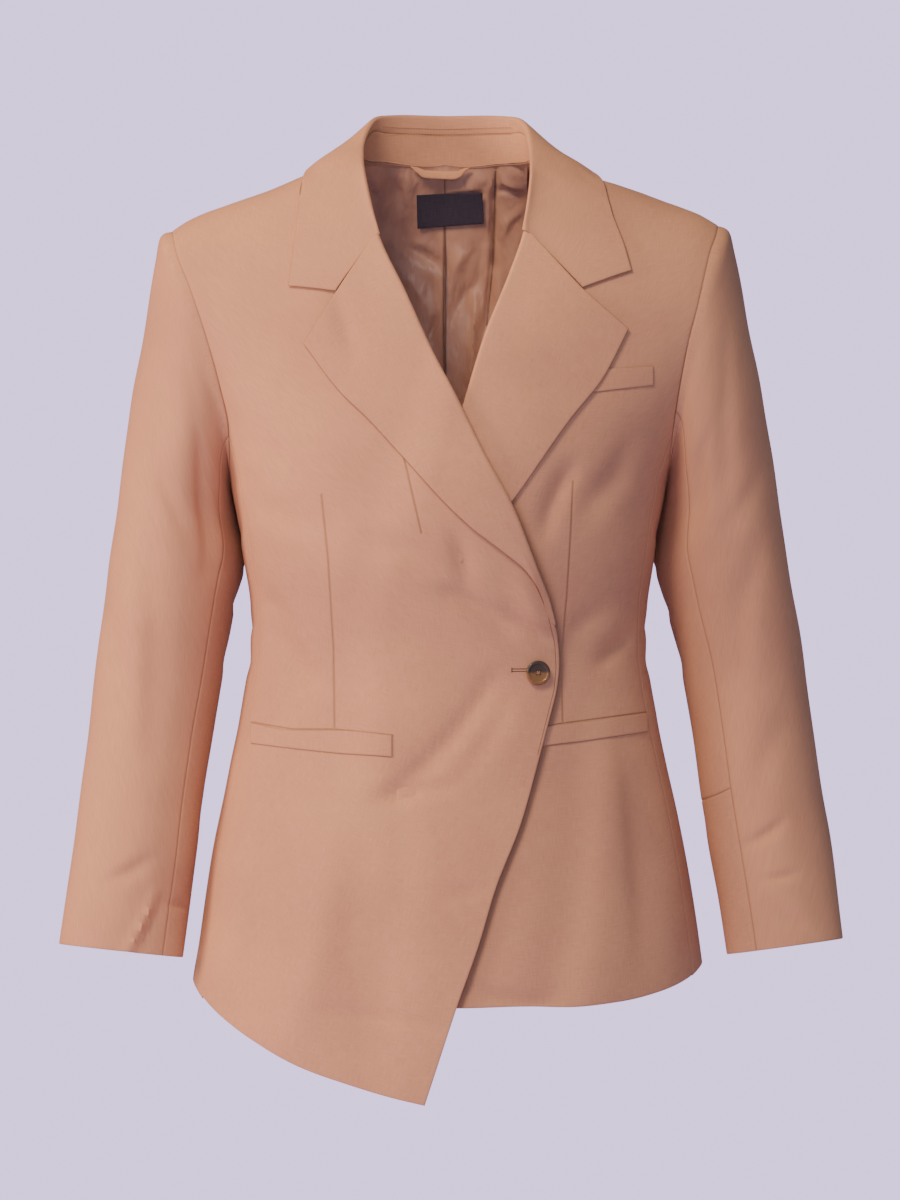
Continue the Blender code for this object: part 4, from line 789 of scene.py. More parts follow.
def torso(face, x, drop):
    """Give the point of the torso's surface at a place across it and a drop."""
    wide = np.where(x < 0, half_width(RIGHT, face, drop), half_width(LEFT, face, drop))
    share = np.clip(np.abs(x) / wide, 0.0, 0.9999999)
    depth = body_depth(face, drop) * (1 - share ** SQUARENESS) ** (1 / SQUARENESS)
    gap = SHOULDER_GAP * (1 - smoothstep(drop, 0.0, 0.05))
    return joined(x, face * (depth + gap), height_at(x, drop))


def torso_normal(face, x, drop):
    """Give the way out from the torso's surface."""
    across = torso(face, x + NEAR, drop) - torso(face, x - NEAR, drop)
    low = np.maximum(drop - NEAR, 0.0)
    down = torso(face, x, low + 2 * NEAR) - torso(face, x, low)
    return unit(np.cross(across, down)) * face


def torso_out(face, x, drop, out):
    """Move a point of the torso out along the surface's normal."""
    normal = torso_normal(face, x, drop)
    return torso(face, x, drop) + normal * np.asarray(out)[..., None]


def torso_ring(side, angle, drop):
    """Give a point by its angle round the body from the front centre."""
    power = 2 / SQUARENESS
    front = angle < math.pi / 2
    wide = np.where(front, half_width(side, FRONT, drop), half_width(side, BACK, drop))
    deep = np.where(front, -body_depth(FRONT, drop), body_depth(BACK, drop))
    x = side * wide * np.sin(angle) ** power
    y = deep * np.abs(np.cos(angle)) ** power
    return joined(x, y, height_at(x, drop))


def ring_normal(side, angle, drop):
    """Give the way out from the torso by the angle round the body."""
    across = torso_ring(side, angle + NEAR_TURN, drop) - torso_ring(side, angle - NEAR_TURN, drop)
    down = torso_ring(side, angle, drop + NEAR) - torso_ring(side, angle, drop - NEAR)
    return unit(np.cross(down, across)) * side


def folds(rows, x, z):
    """Sum the soft troughs and ridges at a place of the front."""
    total = np.zeros(np.broadcast(x, z).shape)
    for x0, z0, x1, z1, width, height in rows:
        run_x = x1 - x0
        run_z = z1 - z0
        length = run_x ** 2 + run_z ** 2
        along = ((x - x0) * run_x + (z - z0) * run_z) / length
        near = np.clip(along, 0.0, 1.0)
        apart = (x - x0 - near * run_x) ** 2 + (z - z0 - near * run_z) ** 2
        total = total + height * np.exp(-apart / width ** 2)
    return total


def crease_lines(rows, a, b):
    """Sum soft creases, each tapering to its ends and steeper on one side."""
    total = np.zeros(np.broadcast(a, b).shape)
    for a0, b0, a1, b1, width, height, lean, bow in rows:
        run_a = a1 - a0
        run_b = b1 - b0
        length = math.hypot(run_a, run_b)
        share = ((a - a0) * run_a + (b - b0) * run_b) / length ** 2
        near = np.clip(share, 0.0, 1.0)
        aside = ((b - b0) * run_a - (a - a0) * run_b) / length
        aside = aside - bow * 4 * near * (1 - near)
        beyond = (share - near) * length / 1.5
        wide = width * (1 + lean * np.tanh(aside / width))
        taper = 1 - 0.5 * (2 * near - 1) ** 2
        total = total + height * taper * np.exp(-(aside / wide) ** 2 - (beyond / width) ** 2)
    return total


def waviness(points):
    """Give the cloth's slow waviness, the same for all pieces that meet at a place."""
    total = np.zeros(points.shape[:-1])
    for x, y, z, phase, height in WAVES:
        total = total + height * np.sin(
            points[..., 0] * x + points[..., 1] * y + points[..., 2] * z + phase)
    return total


def lap_lift(x, z):
    """Give how far the right front stands off where it laps over the left one."""
    hidden = EDGE[LEFT](z)
    return LAP_LIFT * smoothstep(x, hidden - LAP_BEGINS, hidden - LAP_FULL)


def front_out(side, x, z):
    """Give how far a front's outer face stands off the torso's surface."""
    drop = drop_at(x, z)
    apart = seam_x(side, FRONT, drop) - side * x
    away = folds(FOLDS[side], x, z) + crease_lines(FRONT_CREASES[side], x, z) * CREASE_GAIN
    away = (away + waviness(torso(FRONT, x, drop))) * smoothstep(apart, 0.0, CREASE_FADE)
    if side == RIGHT:
        away = away + lap_lift(x, z)
    return away


def front_point(side, x, z, out):
    """Give a point on a front, moved out from the cloth's outer face."""
    return torso_out(FRONT, x, drop_at(x, z), out + front_out(side, x, z))


# Shells of cloth

def cloth_name(side, piece):
    return ("right_" if side == RIGHT else "left_") + piece + "_cloth"


def spread(low, high, count):
    return np.linspace(low, high, count)


def steps_between(length, step):
    """Give places along a length, close together by both ends."""
    border = np.array(BORDER)
    count = max(int(round((length - 2 * border[-1]) / step)), 1) + 1
    middle = spread(border[-1], length - border[-1], count)
    return np.concatenate([border[:-1], middle, (length - border[:-1])[::-1]])


def shares_between(length, step):
    return steps_between(length, step) / length


def with_share(shares, share):
    """Move the nearest of the inner shares to a place that the form needs."""
    shares = shares.copy()
    near = np.argmin(np.abs(shares[1:-1] - share)) + 1
    shares[near] = share
    return shares


def border_distances(grid):
    """Give every point's distance along the cloth from the grid's four borders."""
    across = np.linalg.norm(np.diff(grid, axis=1), axis=-1)
    along = np.linalg.norm(np.diff(grid, axis=0), axis=-1)
    start = np.pad(np.cumsum(across, axis=1), ((0, 0), (1, 0)))
    bottom = np.pad(np.cumsum(along, axis=0), ((1, 0), (0, 0)))
    return {
        "start": start,
        "end": start[:, -1:] - start,
        "bottom": bottom,
        "top": bottom[-1:] - bottom,
    }


def rounded(distance, thick):
    """Give how far a face draws in towards the cloth's middle by a free edge."""
    near = np.clip(1 - distance / EDGE_WIDTH, 0.0, 1.0)
    return thick * EDGE_SHARE * (1 - np.sqrt(1 - near ** 2))


def grid_normals(grid):
    along = np.gradient(grid, axis=0)
    across = np.gradient(grid, axis=1)
    return unit(np.cross(across, along))


def grid_faces(rows, cols):
    """Give the faces of two grids and of the rim that closes them."""
    first = (np.arange(rows - 1)[:, None] * cols + np.arange(cols - 1)[None, :]).ravel()
    outer = np.stack([first, first + 1, first + cols + 1, first + cols], axis=1)
    inner = outer[:, ::-1] + rows * cols
    rim = list(range(cols))
    rim += [r * cols + cols - 1 for r in range(1, rows)]
    rim += [(rows - 1) * cols + c for c in range(cols - 2, -1, -1)]
    rim += [r * cols for r in range(rows - 2, 0, -1)]
    rim = np.array(rim)
    after = np.roll(rim, -1)
    count = rows * cols
    edge = np.stack([rim, rim + count, after + count, after], axis=1)
    return outer, inner, edge


def mesh_object(name, points, faces, cloth=None, marks=None, sharp=50):
    """Make an object of closed faces pointing out, with its cloth's flat places."""
    mesh = bpy.data.meshes.new(name)
    mesh.from_pydata(points.tolist(), [], [list(face) for face in faces])
    shape = bmesh.new()
    shape.from_mesh(mesh)
    bmesh.ops.recalc_face_normals(shape, faces=shape.faces)
    shape.to_mesh(mesh)
    shape.free()
    mesh.shade_smooth()
    mesh.set_sharp_from_angle(angle=math.radians(sharp))
    if cloth is not None:
        corner = np.empty(len(mesh.loops), dtype=np.int32)
        mesh.loops.foreach_get("vertex_index", corner)
        layer = mesh.uv_layers.new(name="Cloth")
        layer.data.foreach_set("uv", cloth[corner].astype(np.float32).ravel())
    if marks is not None:
        mesh.polygons.foreach_set("material_index", marks.astype(np.int32))
    thing = bpy.data.objects.new(name, mesh)
    bpy.context.collection.objects.link(thing)
    return thing


def cloth_shell(name, grid, normals, free=(), seams=(), thick=CLOTH, lined=None, seam_and_shade_borders=()):
    """Make a shell of cloth from its outer points, rounded at free edges and sunk at seams.

    lined names the borders by which the inner face shows the suiting, and how wide.
    """
    rows, cols = grid.shape[:2]
    apart = border_distances(grid)
    draw_in = np.zeros((rows, cols))
    sink = np.zeros((rows, cols))
    for border in free:
        draw_in = np.maximum(draw_in, rounded(apart[border], thick))
    for border in seams:
        sink = np.maximum(sink, SEAM_DEPTH * np.exp(-(apart[border] / SEAM_WIDTH) ** 2))
    # Painted shade: a thin dark line along the seams, where it is a dark joint, and along the
    # further borders named, where it is painted shade at free edges; it is kept as an attribute
    # for the material.
    shadow = np.zeros((rows, cols))
    for border in tuple(seams) + tuple(seam_and_shade_borders):
        shadow = np.maximum(shadow, np.exp(-(apart[border] / SEAM_AND_SHADE_LINE_WIDTH) ** 2))
    outer = grid - normals * np.maximum(draw_in, sink)[..., None]
    inner = grid - normals * (thick - draw_in)[..., None]
    points = np.concatenate([outer.reshape(-1, 3), inner.reshape(-1, 3)])
    faces = grid_faces(rows, cols)
    flat = joined(apart["start"], apart["bottom"]).reshape(-1, 2)
    marks = np.zeros(sum(len(part) for part in faces), dtype=int)
    if lined is not None:
        faced = np.zeros((rows, cols), dtype=bool)
        for border, width in lined:
            faced |= apart[border] < width
        quads = faced[:-1, :-1] | faced[1:, 1:]
        marks[len(faces[0]):len(faces[0]) + len(faces[1])] = np.where(quads.ravel(), 0, 1)
    cloth = np.concatenate([flat, flat])
    thing = mesh_object(name, points, np.concatenate(faces), cloth, marks)
    layer = thing.data.attributes.new("Seam", "FLOAT", "POINT")
    layer.data.foreach_set("value", np.tile(shadow.ravel(), 2).astype(np.float32))
    return thing


def patch(bottom, top, start, end, u, v):
    """Blend four edges into a grid: rows run from bottom to top, columns from start to end."""
    v = v[:, None, None]
    u = u[None, :, None]
    sides = start[:, None] * (1 - u) + end[:, None] * u
    ends = bottom[None] * (1 - v) + top[None] * v
    low = bottom[0] * (1 - u) + bottom[-1] * u
    high = top[0] * (1 - u) + top[-1] * u
    return sides + ends - (low * (1 - v) + high * v)


# Body panels

def turn_drop(turn):
    """Give the armhole's drop at a turn round it from the shoulder."""
    return UNDERARM * (1 - np.cos(turn)) / 2


def turn_angle(turn):
    """Give the angle round the body at which the armhole has a turn."""
    face = FRONT if turn <= math.pi else BACK
    reach = float(armhole_reach(face, turn_drop(turn)))
    lean = math.acos(reach ** (SQUARENESS / 2))
    return lean if face == FRONT else math.pi - lean


FRONT_SEAM_ANGLE = turn_angle(math.radians(SIDE_TURN))
BACK_SEAM_ANGLE = turn_angle(math.radians(360 - SIDE_TURN))


def seam_x(side, face, drop):
    """Give how far out a front or back reaches: to its side seam or the armhole."""
    angle = FRONT_SEAM_ANGLE if face == FRONT else BACK_SEAM_ANGLE
    share = abs(math.sin(angle)) ** (2 / SQUARENESS)
    seam = half_width(side, face, drop) * share
    armhole_end = turn_drop(math.radians(SIDE_TURN))
    return np.where(drop < armhole_end, side_width(side, drop), seam)


def seam_drops(hem, step):
    """Give the drops of a panel's rows, up its side seam and round the armhole."""
    junction = turn_drop(math.radians(SIDE_TURN))
    below = hem - steps_between(hem - junction, step)
    turns = np.radians(np.arange(SIDE_TURN - 2.0, 8.0, -2.0))
    return np.concatenate([below, turn_drop(turns), SHOULDER_DROPS])


def side_hem(side, angle):
    """Give the hem's height round the side, from the front's seam to the back's."""
    front = float(HEM[side](np.array(side * seam_x(side, FRONT, -SIDE_HEM[side]))))
    middle = SIDE_HEM[side]
    if angle < math.pi / 2:
        share = (math.pi / 2 - angle) / (math.pi / 2 - FRONT_SEAM_ANGLE)
        return middle + (front - middle) * min(share, 1.0) ** HEM_EASE
    share = (angle - math.pi / 2) / (math.pi / 2)
    return middle + (BACK_HEM - middle) * share


def front_panel(side, step):
    """Make a front from its edge to the side seam and armhole."""
    edge = EDGE[side]
    low = edge.x[0]
    high = edge.x[-1]
    roll = BREAK[side]
    drop_seam = seam_drops(-side_hem(side, FRONT_SEAM_ANGLE), step)
    v = 1 - drop_seam / drop_seam[0]
    z_edge = low + (high - low) * v
    inset = ROLL_INSET * smoothstep(z_edge, roll - BREAK_FADE, roll)
    if side == RIGHT:
        inset = ROLL_INSET_LOW + (ROLL_INSET - ROLL_INSET_LOW) * smoothstep(
            z_edge, roll, roll + LAPEL_TAPER)
        inset = inset * smoothstep(z_edge, roll - ROLL_INSET_FADE, roll)
    x_edge = edge(z_edge) + side * inset
    x_seam = side * seam_x(side, FRONT, drop_seam)
    start = joined(x_edge, drop_at(x_edge, z_edge))
    end = joined(x_seam, drop_seam)
    start[-1, 1] = 0.0
    u = shares_between(abs(x_seam[0] - x_edge[0]), step)
    x_hem = x_edge[0] * (1 - u) + x_seam[0] * u
    bottom = joined(x_hem, -HEM[side](x_hem))
    x_top = x_edge[-1] * (1 - u) + x_seam[-1] * u
    top = joined(x_top, np.zeros_like(x_top))
    bottom[0] = start[0]
    bottom[-1] = end[0]
    flat = patch(bottom, top, start, end, u, v)
    x = flat[..., 0]
    drop = np.maximum(flat[..., 1], 0.0)
    grid = torso_out(FRONT, x, drop, front_out(side, x, height_at(x, drop)))
    lined = (("start", FACING_WIDTH), ("bottom", TURN_UP))
    return cloth_shell(cloth_name(side, "front"), grid, torso_normal(FRONT, x, drop),
                       free=("start", "bottom"), seams=("end", "top"), lined=lined)


def side_panel(side, step):
    """Make the panel under the arm."""
    turns = np.radians(SIDE_TURN + (360 - 2 * SIDE_TURN) * shares_between(0.14, step))
    angles = np.array([turn_angle(turn) for turn in turns])
    tops = turn_drop(turns)
    hems = np.array([-side_hem(side, angle) for angle in angles])
    share = shares_between(float(hems[0] - tops[0]), step)[:, None]
    drop = hems * (1 - share) + tops * share
    angle = angles[None, :] + np.zeros_like(drop)
    grid = torso_ring(side, angle, drop)
    normals = ring_normal(side, angle, drop)
    width = (angle - angles[0]) / (angles[-1] - angles[0])
    inside = smoothstep(np.minimum(width, 1 - width), 0.0, 0.15)
    inside = inside * smoothstep(drop - tops, 0.0, CREASE_FADE)
    out = (waviness(grid) + crease_lines(SIDE_CREASES, grid[..., 1], grid[..., 2])) * inside
    return cloth_shell(cloth_name(side, "side"), grid + normals * out[..., None], normals,
                       free=("bottom",), seams=("start", "end", "top"),
                       lined=(("bottom", TURN_UP),))


def neck_drop(x, y):
    """Find the drop at which the back's surface reaches a place of the neck."""
    low = 0.0
    high = 0.1
    for _ in range(40):
        middle = (low + high) / 2
        if torso(BACK, np.array(x), np.array(middle))[1] > y:
            high = middle
        else:
            low = middle
    return high


def neckline(side, angle):
    """Give the back neckline by its angle: x, y and drop, with 0 at the shoulder."""
    x = side * NECK_HALF[side] * math.cos(angle)
    y = NECK_BACK * max(math.sin(angle), 0.0)
    return x, y, neck_drop(x, y)


def back_panel(side, step):
    """Make a half of the back, from the centre seam to the side seam and armhole."""
    corner = (NECK_COLUMNS - 1) / (BACK_COLUMNS - 1)
    u = with_share(shares_between(0.2, step), corner)
    end = side * side_width(side, 0.0)
    x_top = []
    drop_top = []
    x_neck = side * NECK_HALF[side]
    for s in u:
        if s < corner:
            x, _, drop = neckline(side, math.pi / 2 * (1 - s / corner))
        else:
            x = x_neck + (end - x_neck) * (s - corner) / (1 - corner)
            drop = 0.0
        x_top.append(x)
        drop_top.append(drop)
    x_top = np.array(x_top)
    drop_top = np.array(drop_top)
    drop_seam = seam_drops(-side_hem(side, BACK_SEAM_ANGLE), step)
    steps = 1 - drop_seam / drop_seam[0]
    x_seam = side * seam_x(side, BACK, drop_seam)
    drop_centre = -BACK_HEM + (drop_top[0] + BACK_HEM) * steps
    share = (x_top - x_top[0]) / (x_top[-1] - x_top[0])
    v = steps[:, None]
    even = u[None, :] * (1 - v) + share[None, :] * v
    x = x_seam[:, None] * even
    straight = drop_centre[:, None] * (1 - even) + drop_seam[:, None] * even
    bend = drop_top - (drop_top[0] * (1 - share) + drop_top[-1] * share)
    drop = np.maximum(straight + bend[None, :] * v ** NECK_FADE, 0.0)
    base = torso(BACK, x, drop)
    normals = torso_normal(BACK, x, drop)
    apart = seam_x(side, BACK, drop) - side * x
    inside = smoothstep(apart, 0.0, CREASE_FADE)
    out = (waviness(base) + crease_lines(BACK_CREASES, base[..., 0], base[..., 2])) * inside
    return cloth_shell(cloth_name(side, "back"), base + normals * out[..., None], normals,
                       free=("bottom",), seams=("start", "end", "top"),
                       lined=(("bottom", TURN_UP),))


# Lapels

def gorge_turn(side):
    """Give the place on the gorge where the lapel has rolled over and lies flat."""
    edge = EDGE[side]
    z = GORGE[side][1] - GORGE_GAP
    slope = float(edge(z + 1e-3) - edge(z - 1e-3)) / 2e-3
    away = unit(np.array([1.0, -slope])) * side
    radius = (LAPEL_OUT + CLOTH) / 2
    return float(edge(z)) + away[0] * radius * 1.5, z + away[1] * radius * 1.5


def notch_fade(share, notch):
    """Give how much of a bend at the notch is felt at a share of the way out."""
    return share / notch if share < notch else (1 - share) / (1 - notch)


def lapel(side, step):
    """Make a lapel, curled over at the roll line and lying on its front."""
    edge = EDGE[side]
    outer_edge = LAPEL_EDGE[side]
    notch = NOTCH[side]
    low = BREAK[side]
    up = shares_between(0.36, step)
    gap = GORGE_CLOSED
    z_roll = low + (GORGE[side][1] - gap - low) * up
    x_roll = edge(z_roll)
    slope = (edge(z_roll + 1e-3) - edge(z_roll - 1e-3)) / 2e-3
    away = unit(joined(np.ones_like(slope), -slope)) * side
    z_out = outer_edge.x[0] + (outer_edge.x[-1] - gap - outer_edge.x[0]) * up
    x_out = outer_edge(z_out)
    if side == RIGHT:
        out = LAPEL_LOW + (LAPEL_OUT - LAPEL_LOW) * smoothstep(z_roll, low, low + LAPEL_TAPER)
    else:
        shown = smoothstep(z_roll, LAPEL_COVERED, LAPEL_SHOWN)
        out = LAPEL_OUT_HIDDEN + (LAPEL_OUT - LAPEL_OUT_HIDDEN) * shown
    radius = (out + CLOTH) / 2
    places = []
    for turn in np.radians(spread(-90, 90, CURL_STEPS)):
        near = radius * (1 - math.cos(turn))
        x = x_roll + away[:, 0] * near
        z = z_roll + away[:, 1] * near
        places.append((x, z, out - radius + radius * math.sin(turn)))
    x_turn = x_roll + away[:, 0] * radius * 1.5
    z_turn = z_roll + away[:, 1] * radius * 1.5
    at = NOTCH_AT
    bend_x = notch[0] - x_turn[-1] * (1 - at) - x_out[-1] * at
    bend_z = notch[1] - gap - z_turn[-1] * (1 - at) - z_out[-1] * at
    fade = up ** 4
    shares = shares_between(0.10, step)
    for share in with_share(shares[shares > LEAF_START], at):
        felt = fade * notch_fade(share, at)
        x = x_turn * (1 - share) + x_out * share + bend_x * felt
        z = z_turn * (1 - share) + z_out * share + bend_z * felt
        lie = out - (out - np.minimum(out, LAPEL_LIES)) * smoothstep(share, 0.25, 1.0)
        places.append((x, z, lie))
    grid = np.stack([front_point(side, x, z, lift) for x, z, lift in places], axis=1)
    normals = grid_normals(grid) * side
    # The lapel's top and outer edge get a thin dark line: painted shade along its free edges, and
    # a dark joint where the top meets the collar at the gorge.
    return cloth_shell(cloth_name(side, "lapel"), grid, normals,
                       free=("end", "top", "bottom"), seam_and_shade_borders=("top", "end"))


# Collar

def collar_rows():
    """Join both halves of the collar's table and smooth them along the neck."""
    both = list(RIGHT_COLLAR_ROWS) + list(LEFT_COLLAR_ROWS[-2::-1])
    rows = [(k,) + row for k, row in enumerate(both)]
    return curves(("station",) + COLLAR_COLUMNS, rows)


COLLAR = collar_rows()
LAST_STATION = len(RIGHT_COLLAR_ROWS) + len(LEFT_COLLAR_ROWS) - 2


def collar_frame(station):
    """Give the roll point, the leaf's edge, and the ways across and down at a station."""
    value = {name: float(COLLAR[name](station)) for name in COLLAR_COLUMNS}
    roll = np.array([value["roll_x"], value["roll_y"], value["roll_z"]])
    edge = np.array([value["edge_x"], value["edge_y"], value["edge_z"]])
    near = [np.array([float(COLLAR[name](station + step)) for name in COLLAR_COLUMNS[:3]])
            for step in (-0.15, 0.15)]
    tangent = unit(near[1] - near[0])
    tuck = math.radians(value["tuck"])
    down = np.array([0.0, math.sin(tuck), -math.cos(tuck)])
    down = unit(down - tangent * np.dot(down, tangent))
    inward = np.cross(down, tangent)
    return roll, edge, inward, down, tangent, value["inside"]


def clear_of_body(point, out):
    """Keep a point of the leaf clear of the shoulder that it lies over."""
    drops = spread(0.0, 0.16, 641)
    for _ in range(3):
        x = np.full_like(drops, point[0])
        front = torso(FRONT, x, drops)
        back = torso(BACK, x, drops)
        outline = np.concatenate([front[::-1], back[1:]])
        near = np.argmin(np.linalg.norm(outline - point, axis=1))
        near = min(max(near, 1), len(outline) - 2)
        run = outline[near + 1] - outline[near - 1]
        away = unit(np.array([0.0, -run[2], run[1]]))
        gap = point - outline[near]
        apart = np.dot(gap, away)
        if apart > RIDGE_NEAR:
            apart = np.linalg.norm(gap)
            away = gap / apart
        point = point + away * max(out - apart, 0.0)
    return point


def rest_on_body(point, hug):
    """Draw a point of the leaf down to the front, and keep it clear of the body."""
    x, y, z = point
    below = float(shoulder_height(np.array(x))) - z
    if y < 0 and below > 0:
        hug = hug * float(smoothstep(below, 0.0, HUG_BELOW))
        drop = drop_at(np.array(x), np.array(z))
        surface = float(torso_out(FRONT, np.array(x), drop, np.array(LEAF_OUT))[1])
        y = y * (1 - hug) + surface * hug
    return clear_of_body(np.array([x, y, z]), LEAF_OUT)


def collar_line(station, inside_shares, leaf_shares):
    """Give the collar's section at a station, from inside the neck to the leaf's edge."""
    roll, edge, inward, down, tangent, inside = collar_frame(station)
    from_end = min(station, LAST_STATION - station)
    side = RIGHT if station < LAST_STATION / 2 else LEFT
    hug = 1 - float(smoothstep(from_end, 2.0, 4.0))
    across = np.dot(edge - roll, -inward)
    fall = np.dot(edge - roll, down)
    last = math.pi / 2 + math.atan2(fall, across) - LEAF_RISE

    def arc(turn):
        aside = inward * ROLL_RADIUS * math.cos(turn)
        return roll + aside + down * ROLL_RADIUS * (1 - math.sin(turn))

    x, z = gorge_turn(side)
    met = np.array([x, arc(last)[1], z + GORGE_GAP + GORGE_CLOSED]) - arc(last)
    met = met * max(0.0, 1 - from_end / NOTCH_STATIONS) ** 2
    foot = roll + inward * ROLL_RADIUS + down * inside
    line = [foot + (arc(0.0) - foot) * share for share in inside_shares[:-1]]
    for turn in spread(0.0, last, ARC_STEPS):
        line.append(arc(turn) + met * (turn / last) ** 2)
    start = line[-1]
    up = unit(np.cross(tangent, edge - start))
    if np.dot(up, down) > 0:
        up = -up
    notch = NOTCH[side]
    straight = start * (1 - NOTCH_SHARE) + edge * NOTCH_SHARE
    bend = np.array([notch[0] - straight[0], 0.0, notch[1] - straight[2]])
    bend = bend * max(0.0, 1 - from_end / NOTCH_STATIONS) ** 2
    for share in leaf_shares:
        bulge = up * LEAF_BULGE * 4 * share * (1 - share)
        point = start + (edge - start) * share + bulge
        point = point + bend * notch_fade(share, NOTCH_SHARE)
        line.append(rest_on_body(point, hug))
    line = np.array(line)
    turned = len(inside_shares) - 1 + ARC_STEPS
    first = turned - ROLL_BLEND
    last = turned + ROLL_BLEND
    for _ in range(ROLL_SMOOTHED):
        middle = (line[first - 1:last - 1] + line[first + 1:last + 1]) / 2
        line[first:last] = (line[first:last] + middle) / 2
    return line


def smooth_between(lines, shares):
    """Draw smooth curves through evenly spaced lines of points."""
    last = len(lines) - 1
    place = shares * last
    k = np.clip(np.floor(place).astype(int), 0, last - 1)
    t = (place - k)[:, None, None]
    before = lines[np.maximum(k - 1, 0)]
    start = lines[k]
    end = lines[k + 1]
    after = lines[np.minimum(k + 2, last)]
    return start + t / 2 * (end - before + t * (
        2 * before - 5 * start + 4 * end - after + t * (3 * start - before - 3 * end + after)))


def collar(step):
    """Make the collar, rolled over from inside the neck to the leaf's edge."""
    leaf = shares_between(0.06, step)
    leaf = with_share(leaf[leaf > LEAF_START], NOTCH_SHARE)
    inside = spread(0.0, 1.0, 6)
    lines = [collar_line(k, inside, leaf) for k in spread(0.0, LAST_STATION, COLLAR_STATIONS)]
    grid = smooth_between(np.array(lines), shares_between(0.5, step))
    grid = grid + grid_normals(grid) * -waviness(grid)[..., None]
    # The collar's ends and leaf edge get a thin dark line: painted shade along its free edges, and
    # a dark joint where the ends meet the lapels.
    return cloth_shell("collar_cloth", grid, -grid_normals(grid),
                       free=ALL_ROUND, seam_and_shade_borders=("bottom", "top", "end"))


def stand_ends(station):
    """Give the stand's top edge under the collar and its foot on the neckline."""
    roll, _, inward, down, _, inside = collar_frame(station)
    side = RIGHT if station < LAST_STATION / 2 else LEFT
    from_end = min(station, LAST_STATION - station)
    gap = STAND_GAP + STAND_END_GAP * (1 - float(smoothstep(from_end, 4.0, 6.0)))
    top = roll + inward * ROLL_RADIUS + down * (inside + gap * STAND_CLOSED)
    angle = math.radians(float(STAND_ANGLE(from_end)))
    x, y, drop = neckline(side, angle)
    foot = np.array([x, y, float(height_at(np.array(x), np.array(drop)))])
    foot[2] -= STAND_SUNK
    foot[1] -= STAND_SUNK
    if angle < 0:
        foot[1] = roll[1] + STAND_GAP
    return top, foot


def collar_stand(step):
    """Make the stand between the collar's inside seam and the back neckline."""
    lines = []
    for share in shares_between(0.28, step):
        station = STAND_START + (LAST_STATION - 2 * STAND_START) * share
        top, foot = stand_ends(station)
        lines.append([top + (foot - top) * part for part in shares_between(0.02, step)])
    grid = np.array(lines)
    return cloth_shell("collar_stand_cloth", grid, grid_normals(grid), seams=("start", "end"))


# Sleeves

def armhole(side, turn):
    """Give the armhole's edge by its turn from the shoulder, forward and down."""
    drop = turn_drop(turn)
    x = side * side_width(side, drop)
    front = torso(FRONT, x, drop)
    back = torso(BACK, x, drop)
    return np.where((np.sin(turn) >= 0)[..., None], front, back)


def sleeve_ring(side, along, turn):
    """Give a ring of the sleeve by its table row."""
    value = {name: SLEEVE[side][name](along) for name in SLEEVE_COLUMNS[1:]}
    share = (1 + np.cos(turn)) / 2
    x = value["inner_x"] + (value["outer_x"] - value["inner_x"]) * share
    x = x - value["bow"] * np.sin(turn) ** 2
    z = value["inner_z"] + (value["outer_z"] - value["inner_z"]) * share
    y = value["middle_y"] - value["half_depth"] * np.sin(turn)
    y = y + value["inner_back"] * (1 - share)
    tuck = smoothstep(along, 0.0, TUCK_BEGINS) * (1 - smoothstep(along, *TUCK_ENDS))
    tuck = tuck * np.clip(-np.cos(turn), 0.0, 1.0) ** 3
    return joined(side * (x - TUCK_IN * tuck), y + TUCK_BACK * tuck, z)


def sleeve_point(side, along, turn):
    """Give the sleeve's outer face, set to the armhole and settling into its rings."""
    ring = sleeve_ring(side, along, turn)
    start = sleeve_ring(side, np.zeros_like(along), turn)
    seam = armhole(side, turn) + np.array([side * SLEEVE_SEAM_SHIFT, 0.0, 0.0])
    settle = np.clip(1 - along / SLEEVE_SETTLES, 0.0, 1.0) ** 2
    return ring + (seam - start) * settle[..., None]


def sleeve_normal(side, along, turn):
    """Give the way out from the sleeve."""
    before = sleeve_point(side, along, turn - SLEEVE_NEAR)
    around = sleeve_point(side, along, turn + SLEEVE_NEAR) - before
    low = np.maximum(along - NEAR_ALONG, 0.0)
    down = sleeve_point(side, low + 2 * NEAR_ALONG, turn) - sleeve_point(side, low, turn)
    return unit(np.cross(around, down)) * side


def sleeve_out(side, along, turn, points):
    """Give how far a sleeve's folds and its rolled head stand off its form."""
    metre = math.radians(1) * SLEEVE_RADIUS_MEAN
    rows = [(a0 * SLEEVE_LENGTH, b0 * metre, a1 * SLEEVE_LENGTH, b1 * metre) + tuple(form)
            for a0, b0, a1, b1, *form in SLEEVE_CREASES[side]]
    first = BACK_SLEEVE_SEAM - 360
    degrees = (np.degrees(turn) - first) % 360 + first
    out = crease_lines(rows, along * SLEEVE_LENGTH, degrees * metre) * SLEEVE_GAIN
    head = np.clip(np.cos(turn), 0.0, 1.0) * along * SLEEVE_LENGTH / HEAD_ROLL_AT
    out = out + HEAD_ROLL * head * np.exp(1 - along * SLEEVE_LENGTH / HEAD_ROLL_AT)
    settled = smoothstep(along * SLEEVE_LENGTH, 0.0, 0.01)
    return (out + waviness(points)) * settled


